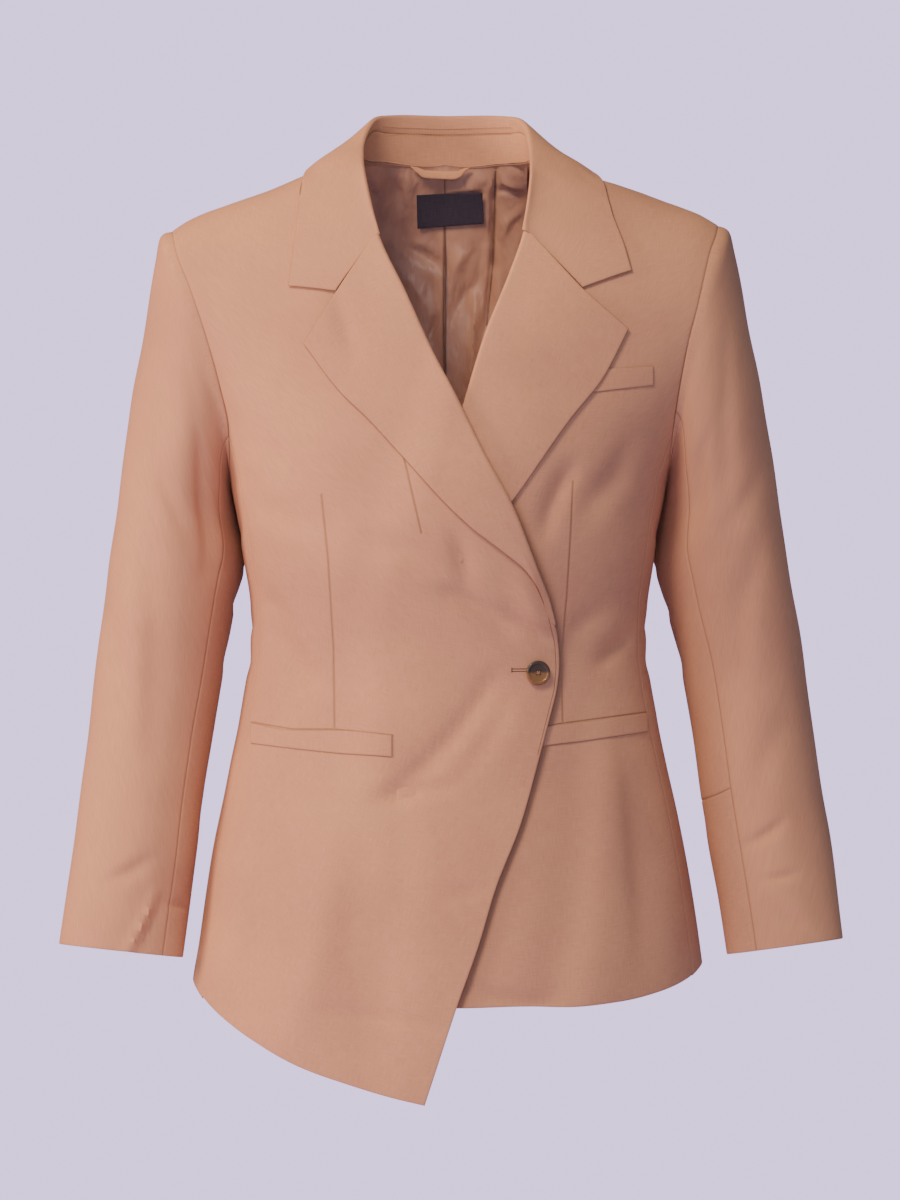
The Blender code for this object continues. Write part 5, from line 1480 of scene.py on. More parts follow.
def sleeve_piece(name, side, first, last, step, start=0.0, end=1.0, rise=(0.0, 0.0)):
    """Make a part of a sleeve between two seams and two places along it."""
    width = math.radians(last - first) * SLEEVE_RADIUS_MEAN
    around = shares_between(width, step)
    turns = np.radians(first + (last - first) * around)
    share = shares_between((end - start) * SLEEVE_LENGTH, step)
    risen = 1 - (1 - around) ** PIECING_BEND
    lows = start + rise[0] * risen
    highs = end + rise[1] * risen
    along = lows[None, :] + (highs - lows)[None, :] * share[:, None]
    turns = np.broadcast_to(turns, along.shape)
    base = sleeve_point(side, along, turns)
    normals = sleeve_normal(side, along, turns)
    grid = base + normals * sleeve_out(side, along, turns, base)[..., None]
    seams = ("start", "end", "bottom")
    if end < 1.0:
        return cloth_shell(name, grid, normals, seams=seams + ("top",), lined=())
    return cloth_shell(name, grid, normals, free=("top",), seams=seams,
                       lined=(("top", TURN_UP),))


# Pockets, lining and trim

def welt(name, side, rows, step):
    """Make a welt from its front's points, moved out."""
    edges = curves(WELT_COLUMNS, rows)
    x = rows[0][0] + (rows[-1][0] - rows[0][0]) * shares_between(WELT_WIDE, step)
    top = edges["top"](x)
    bottom = edges["bottom"](x)
    lines = [front_point(side, x, bottom + (top - bottom) * share, WELT_LIES + WELT_THICK)
             for share in shares_between(WELT_HIGH, WELT_STEP)]
    grid = np.stack(lines)
    # A thin dark line all round the welt: painted shade along its top at the pocket's mouth, and
    # dark joints where it is sewn down.
    return cloth_shell(name, grid, grid_normals(grid) * side, thick=WELT_THICK,
                       free=ALL_ROUND, seam_and_shade_borders=ALL_ROUND)


def lining_point(x, drop, out, pleated=1.0):
    """Give a point on the lining's face, with its knife pleat and crumpled folds."""
    z = height_at(x, drop)
    body = np.exp(-np.abs(x) / KNIFE_WIDTH)
    knife = KNIFE_DEPTH * body * (1 - smoothstep(x, -KNIFE_EDGE, KNIFE_EDGE))
    knife = knife * (KNIFE_TOP + (1 - KNIFE_TOP) * smoothstep(-z, 0.045, 0.085))
    folded = (knife + np.maximum(crease_lines(LINING_CREASES, x, z), LINING_DEEPEST)) * pleated
    return torso_out(BACK, x, drop, -(CLOTH + LINING_BEHIND + LINING + folded + out))


def back_lining():
    """Make the lining, sewn to the stand's foot, with its centre pleat."""
    side = np.concatenate([PLEAT_COLUMNS, np.arange(PLEAT_COLUMNS[-1] + LINING_STEP,
                                                    LINING_TOP_HALF, LINING_STEP),
                           [LINING_TOP_HALF]])
    x_top = np.concatenate([-side[:0:-1], side])
    half = np.where(x_top < 0, NECK_HALF[RIGHT], NECK_HALF[LEFT])
    y_top = NECK_BACK * np.sqrt(1 - (x_top / half) ** 2)
    drops = np.array([neck_drop(x, y) for x, y in zip(x_top, y_top)])
    steps = shares_between(LINING_LOW, LINING_STEP)[:, None] ** 1.2
    x = x_top[None, :] * (1 + (LINING_HALF / LINING_TOP_HALF - 1) * steps)
    drop = drops[None, :] * (1 - steps) + LINING_LOW * steps
    grid = lining_point(x, drop, np.zeros_like(x))
    sewn = joined(x_top, y_top, height_at(x_top, drops))
    sewn = sewn + np.array([0.0, -LINING_SEWN_FORWARD, LINING_SEWN_UP])
    run = LINING_LOW * steps / LINING_SEWN_RUN
    grid = grid + (sewn - grid[:1]) * np.exp(-run ** 2)[..., None]
    return cloth_shell("back_lining_cloth", grid, -grid_normals(grid), thick=LINING)


def neck_label():
    """Make the bare label from the lining's points, moved out."""
    corners = np.array(LABEL_CORNERS)
    u = shares_between(LABEL_WIDE, LABEL_STEP)[None, :, None]
    v = shares_between(LABEL_HIGH, LABEL_STEP)[:, None, None]
    top = corners[0] * (1 - u) + corners[1] * u
    bottom = corners[3] * (1 - u) + corners[2] * u
    flat = top * (1 - v) + bottom * v
    x = flat[..., 0]
    drop = drop_at(x, flat[..., 1])
    grid = lining_point(x, drop, np.full_like(x, LABEL_LIES + LABEL_THICK), 0.0)
    return cloth_shell("neck_label_cloth", grid, -grid_normals(grid), thick=LABEL_THICK,
                       free=ALL_ROUND)


def hanging_loop():
    """Make the strip sewn into the neck seam, drooping between its ends."""
    edges = curves(WELT_COLUMNS, LOOP_ROWS)
    across = shares_between(LOOP_WIDE, LOOP_STEP)
    x = LOOP_ROWS[0][0] + (LOOP_ROWS[-1][0] - LOOP_ROWS[0][0]) * across
    top = edges["top"](x)
    bottom = edges["bottom"](x)
    lines = []
    for share in shares_between(LOOP_HIGH, LOOP_STEP / 2):
        z = top + (bottom - top) * share
        low = (LOOP_TOP - z) / (LOOP_TOP - LOOP_LOW)
        y = NECK_BACK * np.sqrt(1 - (x / NECK_HALF[RIGHT]) ** 2) - LOOP_FORWARD - LOOP_THICK
        y = y - LOOP_LEAN * low - LOOP_ROUND * 4 * share * (1 - share)
        lines.append(joined(x, y, z))
    grid = np.stack(lines)
    return cloth_shell("hanging_loop_cloth", grid, -grid_normals(grid), thick=LOOP_THICK,
                       free=ALL_ROUND)


# Small solids, modelled as by hand

def deselect_all():
    if bpy.context.mode != "OBJECT":
        bpy.ops.object.mode_set(mode="OBJECT")
    bpy.ops.object.select_all(action="DESELECT")


def select_where(mesh, kind, test):
    """Select only the vertices, edges or faces that pass a test, in edit mode."""
    bpy.ops.mesh.select_all(action="DESELECT")
    shape = bmesh.from_edit_mesh(mesh)
    for part in getattr(shape, kind):
        if test(part):
            part.select_set(True)
    shape.select_flush_mode()
    bmesh.update_edit_mesh(mesh)


def button_frame():
    """Give the button's place on the lap and the ways across, up and out of it."""
    at = front_point(RIGHT, np.array(BUTTON_X), np.array(BUTTON_Z), np.array(BUTTON_OUT))
    above = front_point(RIGHT, np.array(BUTTON_X), np.array(BUTTON_Z), np.array(0.01))
    out = unit(above - at)
    across = unit(np.cross(out, np.array([0.0, 0.0, 1.0]))) * -1
    return at, across, np.cross(out, across), out


def place_button_part(thing, at, across, up, out):
    """Turn a part modelled about the origin to the button's place, in its mesh."""
    points = np.empty(len(thing.data.vertices) * 3)
    thing.data.vertices.foreach_get("co", points)
    points = points.reshape(-1, 3)
    placed = at + points[:, :1] * across + points[:, 1:2] * up + points[:, 2:] * out
    thing.data.vertices.foreach_set("co", placed.ravel())
    thing.data.update()


def button(radius, thick):
    """Turn the button: a rounded rim, a dish and four holes."""
    deselect_all()
    bpy.ops.mesh.primitive_cylinder_add(
        vertices=64, radius=radius, depth=thick, location=(0, 0, thick / 2))
    thing = bpy.context.active_object
    thing.name = "horn_button"
    bpy.ops.object.transform_apply(location=True, rotation=True, scale=True)
    bpy.ops.object.mode_set(mode="EDIT")
    bpy.ops.mesh.select_mode(type="FACE")
    select_where(thing.data, "faces", lambda face: face.normal.z > 0.9)
    bpy.ops.mesh.inset(thickness=BUTTON_RIM)
    bpy.ops.mesh.inset(thickness=BUTTON_DISH)
    bpy.ops.transform.translate(value=(0, 0, -BUTTON_DISH))
    bpy.ops.mesh.inset(thickness=BUTTON_DISH * 3)
    bpy.ops.transform.translate(value=(0, 0, -BUTTON_DISH * 0.3))
    bpy.ops.mesh.select_mode(type="EDGE")
    select_where(thing.data, "edges", lambda edge: all(
        abs(v.co.xy.length - radius) < 1e-6 for v in edge.verts)
        and abs(edge.verts[0].co.z - edge.verts[1].co.z) < 1e-6)
    bpy.ops.mesh.bevel(offset=thick * 0.34, segments=4, profile=0.5, affect="EDGES")
    select_where(thing.data, "edges", lambda edge: all(
        abs(v.co.xy.length - radius + BUTTON_RIM) < 1e-5 for v in edge.verts))
    bpy.ops.mesh.bevel(offset=BUTTON_DISH * 0.5, segments=3, affect="EDGES")
    bpy.ops.object.mode_set(mode="OBJECT")
    for turn in range(4):
        angle = math.radians(45 + 90 * turn)
        deselect_all()
        bpy.ops.mesh.primitive_cylinder_add(
            vertices=16, radius=HOLE_RADIUS, depth=thick * 3,
            location=(HOLE_OUT * math.cos(angle), HOLE_OUT * math.sin(angle), 0))
        drill = bpy.context.active_object
        deselect_all()
        thing.select_set(True)
        bpy.context.view_layer.objects.active = thing
        cut = thing.modifiers.new("hole", "BOOLEAN")
        cut.operation = "DIFFERENCE"
        cut.object = drill
        cut.solver = "EXACT"
        bpy.ops.object.modifier_apply(modifier=cut.name)
        bpy.data.objects.remove(drill, do_unlink=True)
    bpy.ops.object.shade_smooth_by_angle(angle=math.radians(35))
    place_button_part(thing, *button_frame())
    return thing


# Thread

def stitch_shape():
    """Model one stitch: a short rounded capsule along X, lying on the origin."""
    deselect_all()
    bpy.ops.mesh.primitive_uv_sphere_add(segments=8, ring_count=6, radius=0.5)
    one = bpy.context.active_object
    points = np.array([v.co[:] for v in one.data.vertices])
    faces = [tuple(face.vertices) for face in one.data.polygons]
    bpy.data.objects.remove(one, do_unlink=True)
    return points[:, [2, 0, 1]], faces


def thread_mesh(name, stitches):
    """Join copies of a stitch: each by its middle, its way along, its way out and sizes."""
    shape, faces = stitch_shape()
    points = []
    all_faces = []
    for middle, along, out, length, thick in stitches:
        along = unit(np.asarray(along, float))
        out = unit(out - along * np.dot(out, along))
        across = np.cross(out, along)
        lift = thick * (0.25 - shape[:, :1] ** 2)
        placed = (middle + shape[:, :1] * along * length + shape[:, 1:2] * across * thick
                  + (shape[:, 2:] * thick + lift) * out)
        base = len(points) * len(shape)
        points.append(placed)
        all_faces += [tuple(k + base for k in face) for face in faces]
    return mesh_object(name, np.concatenate(points), all_faces, sharp=80)


def row_of_stitches(line, out, length, thick, pitch):
    """Give stitches evenly spaced along a line of points."""
    run = np.concatenate([[0.0], np.cumsum(np.linalg.norm(np.diff(line, axis=0), axis=1))])
    places = np.arange(pitch / 2, run[-1], pitch)

    def read(values, at):
        return np.stack([np.interp(at, run, values[:, k]) for k in range(3)], axis=1)

    middle = read(line, places)
    ahead = read(line, places + pitch / 4)
    return [(m, a - m, f, length, thick) for m, a, f in zip(middle, ahead, read(out, places))]


def collar_stitches():
    """Make the two rows of small stitches that show inside the neck, in dark thread and drawn
    thick, so that they also stand in for the shade in their holes.
    """
    upper = []
    lower = []
    facing = []
    for station in spread(STITCH_STATION, LAST_STATION - STITCH_STATION, 60):
        roll, _, inward, down, _, inside = collar_frame(station)
        foot = roll + inward * ROLL_RADIUS + down * inside
        lift = inward * CLOTH * STITCH_LIFT
        upper.append(foot - down * COLLAR_STITCH_UP + lift)
        top, low = stand_ends(station)
        lower.append(top + unit(low - top) * STAND_STITCH_DOWN + lift)
        facing.append(inward)
    stitches = []
    for line in (upper, lower):
        stitches += row_of_stitches(np.array(line), np.array(facing), STITCH_LENGTH,
                                    STITCH_THICK, STITCH_PITCH)
    return thread_mesh("collar_stitches", stitches)


def lap_line(x, z, count):
    """Give points and ways out along a straight line on the lapped front."""
    x = spread(x[0], x[1], count)
    z = spread(z[0], z[1], count)
    points = front_point(RIGHT, x, z, np.zeros_like(x))
    return points, front_point(RIGHT, x, z, np.full_like(x, 0.01)) - points


def buttonhole():
    """Make the buttonhole's wrapped thread: two close rows and a bar across the end."""
    stitches = []
    for z in (BUTTONHOLE_TOP, BUTTONHOLE_LOW):
        points, out = lap_line((BUTTONHOLE_START, BUTTONHOLE_END), (z, z), 40)
        for point, facing in zip(points, out):
            stitches.append((point, (0, 0, 1), facing, THREAD * 3.2, THREAD * 1.2))
    middle = (BUTTONHOLE_START - THREAD, BUTTONHOLE_START - THREAD)
    points, out = lap_line(middle, (BUTTONHOLE_TOP + THREAD * 3, BUTTONHOLE_LOW - THREAD * 3), 12)
    for point, facing in zip(points, out):
        stitches.append((point, (1, 0, 0), facing, THREAD * 4, THREAD * 1.3))
    return thread_mesh("buttonhole_thread", stitches)


def button_thread(thick):
    """Make the crossed thread in the button's holes."""
    at, across, up, out = button_frame()
    stitches = []
    for turn in (45, 135):
        angle = math.radians(turn)
        way = across * math.cos(angle) + up * math.sin(angle)
        aside = across * -math.sin(angle) + up * math.cos(angle)
        for strand in (-1, 0, 1):
            middle = at + out * (thick - BUTTON_DISH * 1.1) + aside * strand * THREAD
            stitches.append((middle, way, out, HOLE_OUT * 2.1, THREAD * 1.3))
    return thread_mesh("button_thread", stitches)


def label_stitches():
    """Make the stitches down both ends of the label."""
    corners = np.array(LABEL_CORNERS)
    stitches = []
    for top, low, inward in ((corners[0], corners[3], 1), (corners[1], corners[2], -1)):
        share = spread(0.05, 0.95, 30)
        x = top[0] + (low[0] - top[0]) * share + inward * LABEL_STITCH_IN
        z = top[1] + (low[1] - top[1]) * share
        drop = drop_at(x, z)
        points = lining_point(x, drop, np.full_like(x, LABEL_LIES + LABEL_THICK), 0.0)
        beyond = lining_point(x, drop, np.full_like(x, 0.01), 0.0)
        stitches += row_of_stitches(points, beyond - points, LABEL_STITCH, THREAD * 0.9,
                                    LABEL_STITCH_PITCH)
    return thread_mesh("label_stitches", stitches)


# Materials

def group_tree(name, inputs, outputs):
    """Start a node group with named sockets."""
    tree = bpy.data.node_groups.new(name, "ShaderNodeTree")
    for label, kind in inputs:
        tree.interface.new_socket(name=label, in_out="INPUT", socket_type=kind)
    for label, kind in outputs:
        tree.interface.new_socket(name=label, in_out="OUTPUT", socket_type=kind)
    return tree, tree.nodes.new("NodeGroupInput"), tree.nodes.new("NodeGroupOutput")


def feed(tree, socket, value):
    """Link a socket to another, or give it a value."""
    if hasattr(value, "is_linked"):
        tree.links.new(value, socket)
    else:
        socket.default_value = value


def add_node(tree, kind, values):
    """Add a node with its named sockets fed."""
    made = tree.nodes.new(kind)
    set_values(tree, made, values)
    return made


def set_values(tree, made, values):
    """Feed a node's named sockets with values or with other nodes."""
    for label, value in values.items():
        feed(tree, made.inputs[label], value)


def math_node(tree, operation, *values):
    """Add a Math node; each value is a number or a socket."""
    made = tree.nodes.new("ShaderNodeMath")
    made.operation = operation
    for socket, value in zip(made.inputs, values):
        feed(tree, socket, value)
    return made.outputs[0]


def times(tree, first, second):
    return math_node(tree, "MULTIPLY", first, second)


def plus(tree, first, second):
    return math_node(tree, "ADD", first, second)


def clamped(tree, value):
    return add_node(tree, "ShaderNodeClamp", {"Value": value}).outputs[0]


def shaded(colour, share=1.0):
    """Give a colour, made lighter or darker, with full alpha."""
    return (*[part * share for part in colour], 1)


def noise_node(tree, vector, scale, size=(1.0, 1.0, 1.0), detail=1.0):
    """Add a noise over a stretched place."""
    stretch = add_node(tree, "ShaderNodeMapping", {"Scale": size, "Vector": vector})
    noise = add_node(tree, "ShaderNodeTexNoise", {
        "Scale": scale, "Detail": detail, "Vector": stretch.outputs["Vector"]})
    return noise.outputs["Fac"]


def mix_colours(tree, factor, first, second):
    """Add a colour mix; the factor and colours are values or sockets."""
    mix = tree.nodes.new("ShaderNodeMix")
    mix.data_type = "RGBA"
    sockets = [s for s in mix.inputs if s.enabled]
    for socket, value in zip(sockets, (factor, first, second)):
        feed(tree, socket, value)
    return [s for s in mix.outputs if s.enabled][0]


def weave_group():
    """Give the fine weave: slubby warp and weft, with a slow drift of colour."""
    if "Fine weave" in bpy.data.node_groups:
        return bpy.data.node_groups["Fine weave"]
    tree, given, put = group_tree(
        "Fine weave",
        (("Colour", "NodeSocketColor"), ("Drift Colour", "NodeSocketColor"),
         ("Drift", "NodeSocketFloat"), ("Slub", "NodeSocketFloat"),
         ("Place", "NodeSocketVector"), ("Cloth", "NodeSocketVector")),
        (("Colour", "NodeSocketColor"), ("Roughness", "NodeSocketFloat"),
         ("Height", "NodeSocketFloat")))
    place = given.outputs["Place"]
    cloth = given.outputs["Cloth"]
    drift = noise_node(tree, place, DRIFT_SCALE, detail=2.0)
    drift = times(tree, math_node(tree, "SUBTRACT", drift, 0.35), 3.2)
    drift = times(tree, clamped(tree, drift), given.outputs["Drift"])
    warp = noise_node(tree, cloth, 1.0, (1.0 / THREAD_PITCH, 1.0 / SLUB_LENGTH, 1.0))
    weft = noise_node(tree, cloth, 1.0, (1.0 / SLUB_LENGTH, 1.0 / THREAD_PITCH, 1.0))
    threads = math_node(tree, "SUBTRACT", plus(tree, warp, weft), 1.0)
    shade = plus(tree, times(tree, threads, given.outputs["Slub"]), 1.0)
    colour = mix_colours(tree, drift, given.outputs["Colour"], given.outputs["Drift Colour"])
    scale = tree.nodes.new("ShaderNodeVectorMath")
    scale.operation = "SCALE"
    tree.links.new(colour, scale.inputs[0])
    tree.links.new(shade, scale.inputs["Scale"])
    set_values(tree, put, {
        "Colour": scale.outputs[0],
        "Roughness": plus(tree, times(tree, threads, -0.25), 0.84),
        "Height": times(tree, threads, WEAVE_HEIGHT)})
    return tree


def line_nearness_group():
    """Give how near a place is to a line, seen from the front; used for sewn lines and for lines
    of painted shade.
    """
    if "Sewn line" in bpy.data.node_groups:
        return bpy.data.node_groups["Sewn line"]
    tree, given, put = group_tree(
        "Sewn line",
        (("Place", "NodeSocketVector"), ("Start", "NodeSocketVector"),
         ("Run", "NodeSocketVector"), ("Half Width", "NodeSocketFloat")),
        (("Near", "NodeSocketFloat"),))

    def vector(operation, first, second=None):
        made = tree.nodes.new("ShaderNodeVectorMath")
        made.operation = operation
        tree.links.new(first, made.inputs[0])
        if second is not None:
            tree.links.new(second, made.inputs["Scale" if operation == "SCALE" else 1])
        return made

    flat = tree.nodes.new("ShaderNodeVectorMath")
    flat.operation = "MULTIPLY"
    flat.inputs[1].default_value = (1, 0, 1)
    tree.links.new(given.outputs["Place"], flat.inputs[0])
    run = given.outputs["Run"]
    away = vector("SUBTRACT", flat.outputs[0], given.outputs["Start"]).outputs[0]
    share = math_node(tree, "DIVIDE", vector("DOT_PRODUCT", away, run).outputs["Value"],
                      vector("DOT_PRODUCT", run, run).outputs["Value"])
    on_line = vector("SCALE", run, clamped(tree, share)).outputs[0]
    apart = vector("LENGTH", vector("SUBTRACT", away, on_line).outputs[0]).outputs["Value"]
    ratio = math_node(tree, "DIVIDE", apart, given.outputs["Half Width"])
    fall = times(tree, times(tree, ratio, ratio), -1.0)
    near = math_node(tree, "POWER", math.e, fall)
    tree.links.new(near, put.inputs["Near"])
    return tree


def placed_group(tree, group):
    made = tree.nodes.new("ShaderNodeGroup")
    made.node_tree = group
    return made


def near_lines(tree, place, lines):
    """Give how near a place is to the nearest of some lines: sewn lines and lines of painted
    shade.
    """
    nearest = None
    for x0, z0, x1, z1, half_width in lines:
        line = placed_group(tree, line_nearness_group())
        set_values(tree, line, {"Place": place, "Start": (x0, 0, z0),
                                "Run": (x1 - x0, 0, z1 - z0), "Half Width": half_width})
        near = line.outputs["Near"]
        nearest = near if nearest is None else math_node(tree, "MAXIMUM", nearest, near)
    return nearest


def lap_shade():
    """Give soft lines of painted shadow on the left front, along the edge that laps over it, where
    the lap casts its shadow.
    """
    return sewn(LAP_SHADE_WIDTH, *[(x + LAP_SHADE_OUT, z) for z, x in RIGHT_EDGE_ROWS
                                   if LAP_SHADE_LOW < z < LAP_SHADE_TOP])


def new_material(name, colour):
    """Start a material; also give its tree, its shader and its texture places."""
    shade = bpy.data.materials.new(name)
    shade.use_nodes = True
    shade.diffuse_color = shaded(colour)
    tree = shade.node_tree
    where = tree.nodes.new("ShaderNodeTexCoord").outputs
    return shade, tree, tree.nodes["Principled BSDF"], where


def raise_bump(tree, shader, height):
    """Feed a height in metres to the shader's normal."""
    bump = add_node(tree, "ShaderNodeBump", {"Strength": 1.0, "Distance": 1.0, "Height": height})
    tree.links.new(bump.outputs["Normal"], shader.inputs["Normal"])


def cloth_material(name, colour, drift_colour, lines=(), slub=0.30):
    """Make the suiting, with lines pressed into it and darkened: sewn lines, and lines of painted
    shade; the shell's attribute darkens it also along seams and, as painted shade, along free
    edges.
    """
    if name in bpy.data.materials:
        return bpy.data.materials[name]
    shade, tree, shader, where = new_material(name, colour)
    weave = placed_group(tree, weave_group())
    set_values(tree, weave, {
        "Colour": shaded(colour), "Drift Colour": shaded(drift_colour), "Drift": 1.0,
        "Slub": slub, "Place": where["Object"], "Cloth": where["UV"]})
    colour_out = weave.outputs["Colour"]
    height = weave.outputs["Height"]
    # Painted shade: the shell's attribute and the lines darken the colour; at seams and darts this
    # is a dark joint, along free edges, the pockets' mouths and the lap it is painted shade.
    seam = tree.nodes.new("ShaderNodeAttribute")
    seam.attribute_name = "Seam"
    shadow = seam.outputs["Fac"]
    near = near_lines(tree, where["Object"], lines)
    if near is not None:
        height = math_node(tree, "SUBTRACT", height, times(tree, near, LINE_DEPTH))
        shadow = math_node(tree, "MAXIMUM", shadow, near)
    dark = times(tree, shadow, LINE_SHADE)
    colour_out = mix_colours(tree, dark, colour_out, shaded(colour, LINE_COLOUR))
    set_values(tree, shader, {
        "Base Color": colour_out, "Roughness": weave.outputs["Roughness"],
        "Sheen Weight": 0.04, "Sheen Roughness": 0.45, "Specular IOR Level": 0.3})
    raise_bump(tree, shader, height)
    return shade


def satin_material(colour, drift_colour):
    """Make the lining's satin: smooth, with a soft streak along its threads, painted highlights
    and shade on its rumples, and painted shadow along its pleats.
    """
    if "Satin lining" in bpy.data.materials:
        return bpy.data.materials["Satin lining"]
    shade, tree, shader, where = new_material("Satin lining", colour)
    streak = noise_node(tree, where["UV"], 1.0, (2200.0, 60.0, 1.0), detail=2.0)
    # Painted highlight and shade: the satin's colour is lighter where the rumple noise is high,
    # the same noise that raises its bump, and darker in its hollows.
    rumple = noise_node(tree, where["Object"], RUMPLE_SCALE, (1.0, 1.0, 0.42), detail=2.5)
    bright = times(tree, math_node(tree, "SUBTRACT", rumple, 0.36), 3.6)
    shown = mix_colours(tree, clamped(tree, bright), shaded(drift_colour), shaded(colour))
    # Painted shadow: dark lines along the folds of the pleats.
    near = near_lines(tree, where["Object"], PLEAT_SHADOW_LINES)
    near = times(tree, near, PLEAT_SHADE)
    shown = mix_colours(tree, near, shown, shaded(drift_colour, PLEAT_COLOUR))
    set_values(tree, shader, {
        "Base Color": shown,
        "Roughness": plus(tree, times(tree, streak, 0.12), SATIN_ROUGHNESS),
        "Specular IOR Level": 0.6, "Sheen Weight": 0.15, "Sheen Roughness": 0.3})
    raised = times(tree, rumple, RUMPLE_HEIGHT)
    thread = times(tree, streak, 0.00001)
    raise_bump(tree, shader, plus(tree, raised, thread))
    return shade


def horn_material(dark, amber):
    """Make the button's horn: dark above, amber below, streaked between."""
    shade, tree, shader, where = new_material("Horn", amber)
    centre = add_node(tree, "ShaderNodeMapping", {
        "Location": (-BUTTON_X, 0, -BUTTON_Z), "Vector": where["Object"]})
    place = centre.outputs["Vector"]
    parts = tree.nodes.new("ShaderNodeSeparateXYZ")
    tree.links.new(place, parts.inputs[0])
    cloud = noise_node(tree, place, 260.0, (1.0, 1.0, 2.0), detail=4.0)
    streak = noise_node(tree, place, 900.0, (0.25, 1.0, 1.0), detail=3.0)
    level = times(tree, parts.outputs["Z"], HORN_EDGE)
    level = plus(tree, level, times(tree, cloud, 1.2))
    colour = mix_colours(tree, clamped(tree, level), shaded(amber), shaded(dark))
    veined = mix_colours(tree, times(tree, streak, 0.5), colour, shaded(dark, 0.4))
    set_values(tree, shader, {
        "Base Color": veined, "Roughness": plus(tree, times(tree, streak, 0.2), 0.22),
        "Coat Weight": 0.25})
    raise_bump(tree, shader, times(tree, streak, 0.00003))
    return shade


def plain_thread(name, colour):
    """Make a thread's finish, twisted along its length."""
    if name in bpy.data.materials:
        return bpy.data.materials[name]
    shade, tree, shader, where = new_material(name, colour)
    fibre = noise_node(tree, where["Object"], 4000.0)
    set_values(tree, shader, {
        "Base Color": mix_colours(tree, fibre, shaded(colour, 0.8), shaded(colour)),
        "Roughness": plus(tree, times(tree, fibre, 0.2), 0.5)})
    return shade


def floor_material(colour):
    """Make the studio's pale floor, very slightly uneven."""
    shade, tree, shader, where = new_material("Pale floor", colour)
    cloud = noise_node(tree, where["Object"], 1.5, detail=2.0)
    set_values(tree, shader, {
        "Base Color": mix_colours(tree, cloud, shaded(colour), shaded(colour, 0.97)),
        "Roughness": 0.9})
    return shade


# Settings and operators

def length_setting(name, description, default, low, high):
    return bpy.props.FloatProperty(
        name=name, description=description, default=default, min=low, max=high,
        subtype="DISTANCE", unit="LENGTH")


class BlazerSizes(bpy.types.PropertyGroup):
    """Sizes of the cloth and trim."""

    cloth_step: length_setting(
        "Cloth step", "How finely the panels are divided", 0.0045, 0.002, 0.02)
    button_radius: length_setting(
        "Button radius", "Half the width of the button", BUTTON_RADIUS, 0.005, 0.02)
    button_thick: length_setting(
        "Button thickness", "Thickness of the button at its rim", BUTTON_THICK, 0.001, 0.006)
    floor_height: length_setting(
        "Floor height", "Height of the floor, with the neck at 0", -1.5, -3.0, -0.9)


def colour_setting(name, description, default):
    return bpy.props.FloatVectorProperty(
        name=name, description=description, default=default, size=3, min=0.0, max=1.0,
        subtype="COLOR")


class BlazerColours(bpy.types.PropertyGroup):
    """Colours of the cloth, trim and studio."""

    suiting: colour_setting("Suiting", "Colour of the suiting", (0.618, 0.371, 0.258))
    suiting_drift: colour_setting(
        "Suiting drift", "Colour that the suiting drifts to in soft patches",
        (0.540, 0.318, 0.236))
    lining: colour_setting("Lining", "Colour of the satin lining", (0.568, 0.374, 0.315))
    # The satin's painted shade: its colour in the hollows of the rumples and, darkened, in the
    # pleats' painted shadow.
    lining_shade: colour_setting(
        "Lining shade", "Colour that the satin drifts to", (0.48, 0.304, 0.262))
    label: colour_setting("Label", "Colour of the neck label", (0.051, 0.051, 0.097))
    horn_dark: colour_setting("Dark horn", "The button's upper colour", (0.070, 0.062, 0.060))
    horn_amber: colour_setting("Amber horn", "The button's lower colour", (0.30, 0.180, 0.080))
    thread: colour_setting("Thread", "Colour of the sewing thread", (0.32, 0.200, 0.150))
    backdrop: colour_setting("Backdrop", "Colour of the studio", (0.730, 0.587, 1.0))
    sky_light: colour_setting(
        "Soft light", "Colour of the light from all round", (0.712, 0.70, 0.66))


def sizes():
    return bpy.context.scene.blazer_sizes


def colours():
    return bpy.context.scene.blazer_colours


def suiting(name="Suiting", lines=()):
    return cloth_material(name, colours().suiting, colours().suiting_drift, lines)


def satin():
    return satin_material(colours().lining, colours().lining_shade)


def thread(name, share):
    """Give a thread of the sewing thread's colour, made lighter or darker."""
    return plain_thread(name, [part * share for part in colours().thread])


def finish_cloth(thing, node, materials):
    """Give a piece its outer and inner materials and its place on the frame, and hide its part of
    the frame.
    """
    for shade in materials:
        thing.data.materials.append(shade)
    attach(thing, "root")
    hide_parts(node)


class BLAZER_OT_fronts(bpy.types.Operator):
    """Make the lapped right front and the left front under it"""

    bl_idname = "blazer.fronts"
    bl_label = "Fronts"

    def execute(self, context):
        right = suiting("Right front suiting", RIGHT_FRONT_LINES)
        finish_cloth(front_panel(RIGHT, sizes().cloth_step), "right_front", (right, satin()))
        # The left front's colour also holds the painted shadow of the lap.
        left = suiting("Left front suiting", LEFT_FRONT_LINES + lap_shade())
        finish_cloth(front_panel(LEFT, sizes().cloth_step), "left_front", (left, satin()))
        return {"FINISHED"}


class BLAZER_OT_sides(bpy.types.Operator):
    """Make the panels under the arms"""

    bl_idname = "blazer.sides"
    bl_label = "Side panels"

    def execute(self, context):
        for side, node in ((RIGHT, "right_side"), (LEFT, "left_side")):
            panel = side_panel(side, sizes().cloth_step)
            finish_cloth(panel, node, (suiting(), satin()))
        return {"FINISHED"}


class BLAZER_OT_backs(bpy.types.Operator):
    """Make the two halves of the back"""

    bl_idname = "blazer.backs"
    bl_label = "Back"

    def execute(self, context):
        for side, node in ((RIGHT, "right_back"), (LEFT, "left_back")):
            panel = back_panel(side, sizes().cloth_step)
            finish_cloth(panel, node, (suiting("Back suiting", BACK_LINES), satin()))
        return {"FINISHED"}


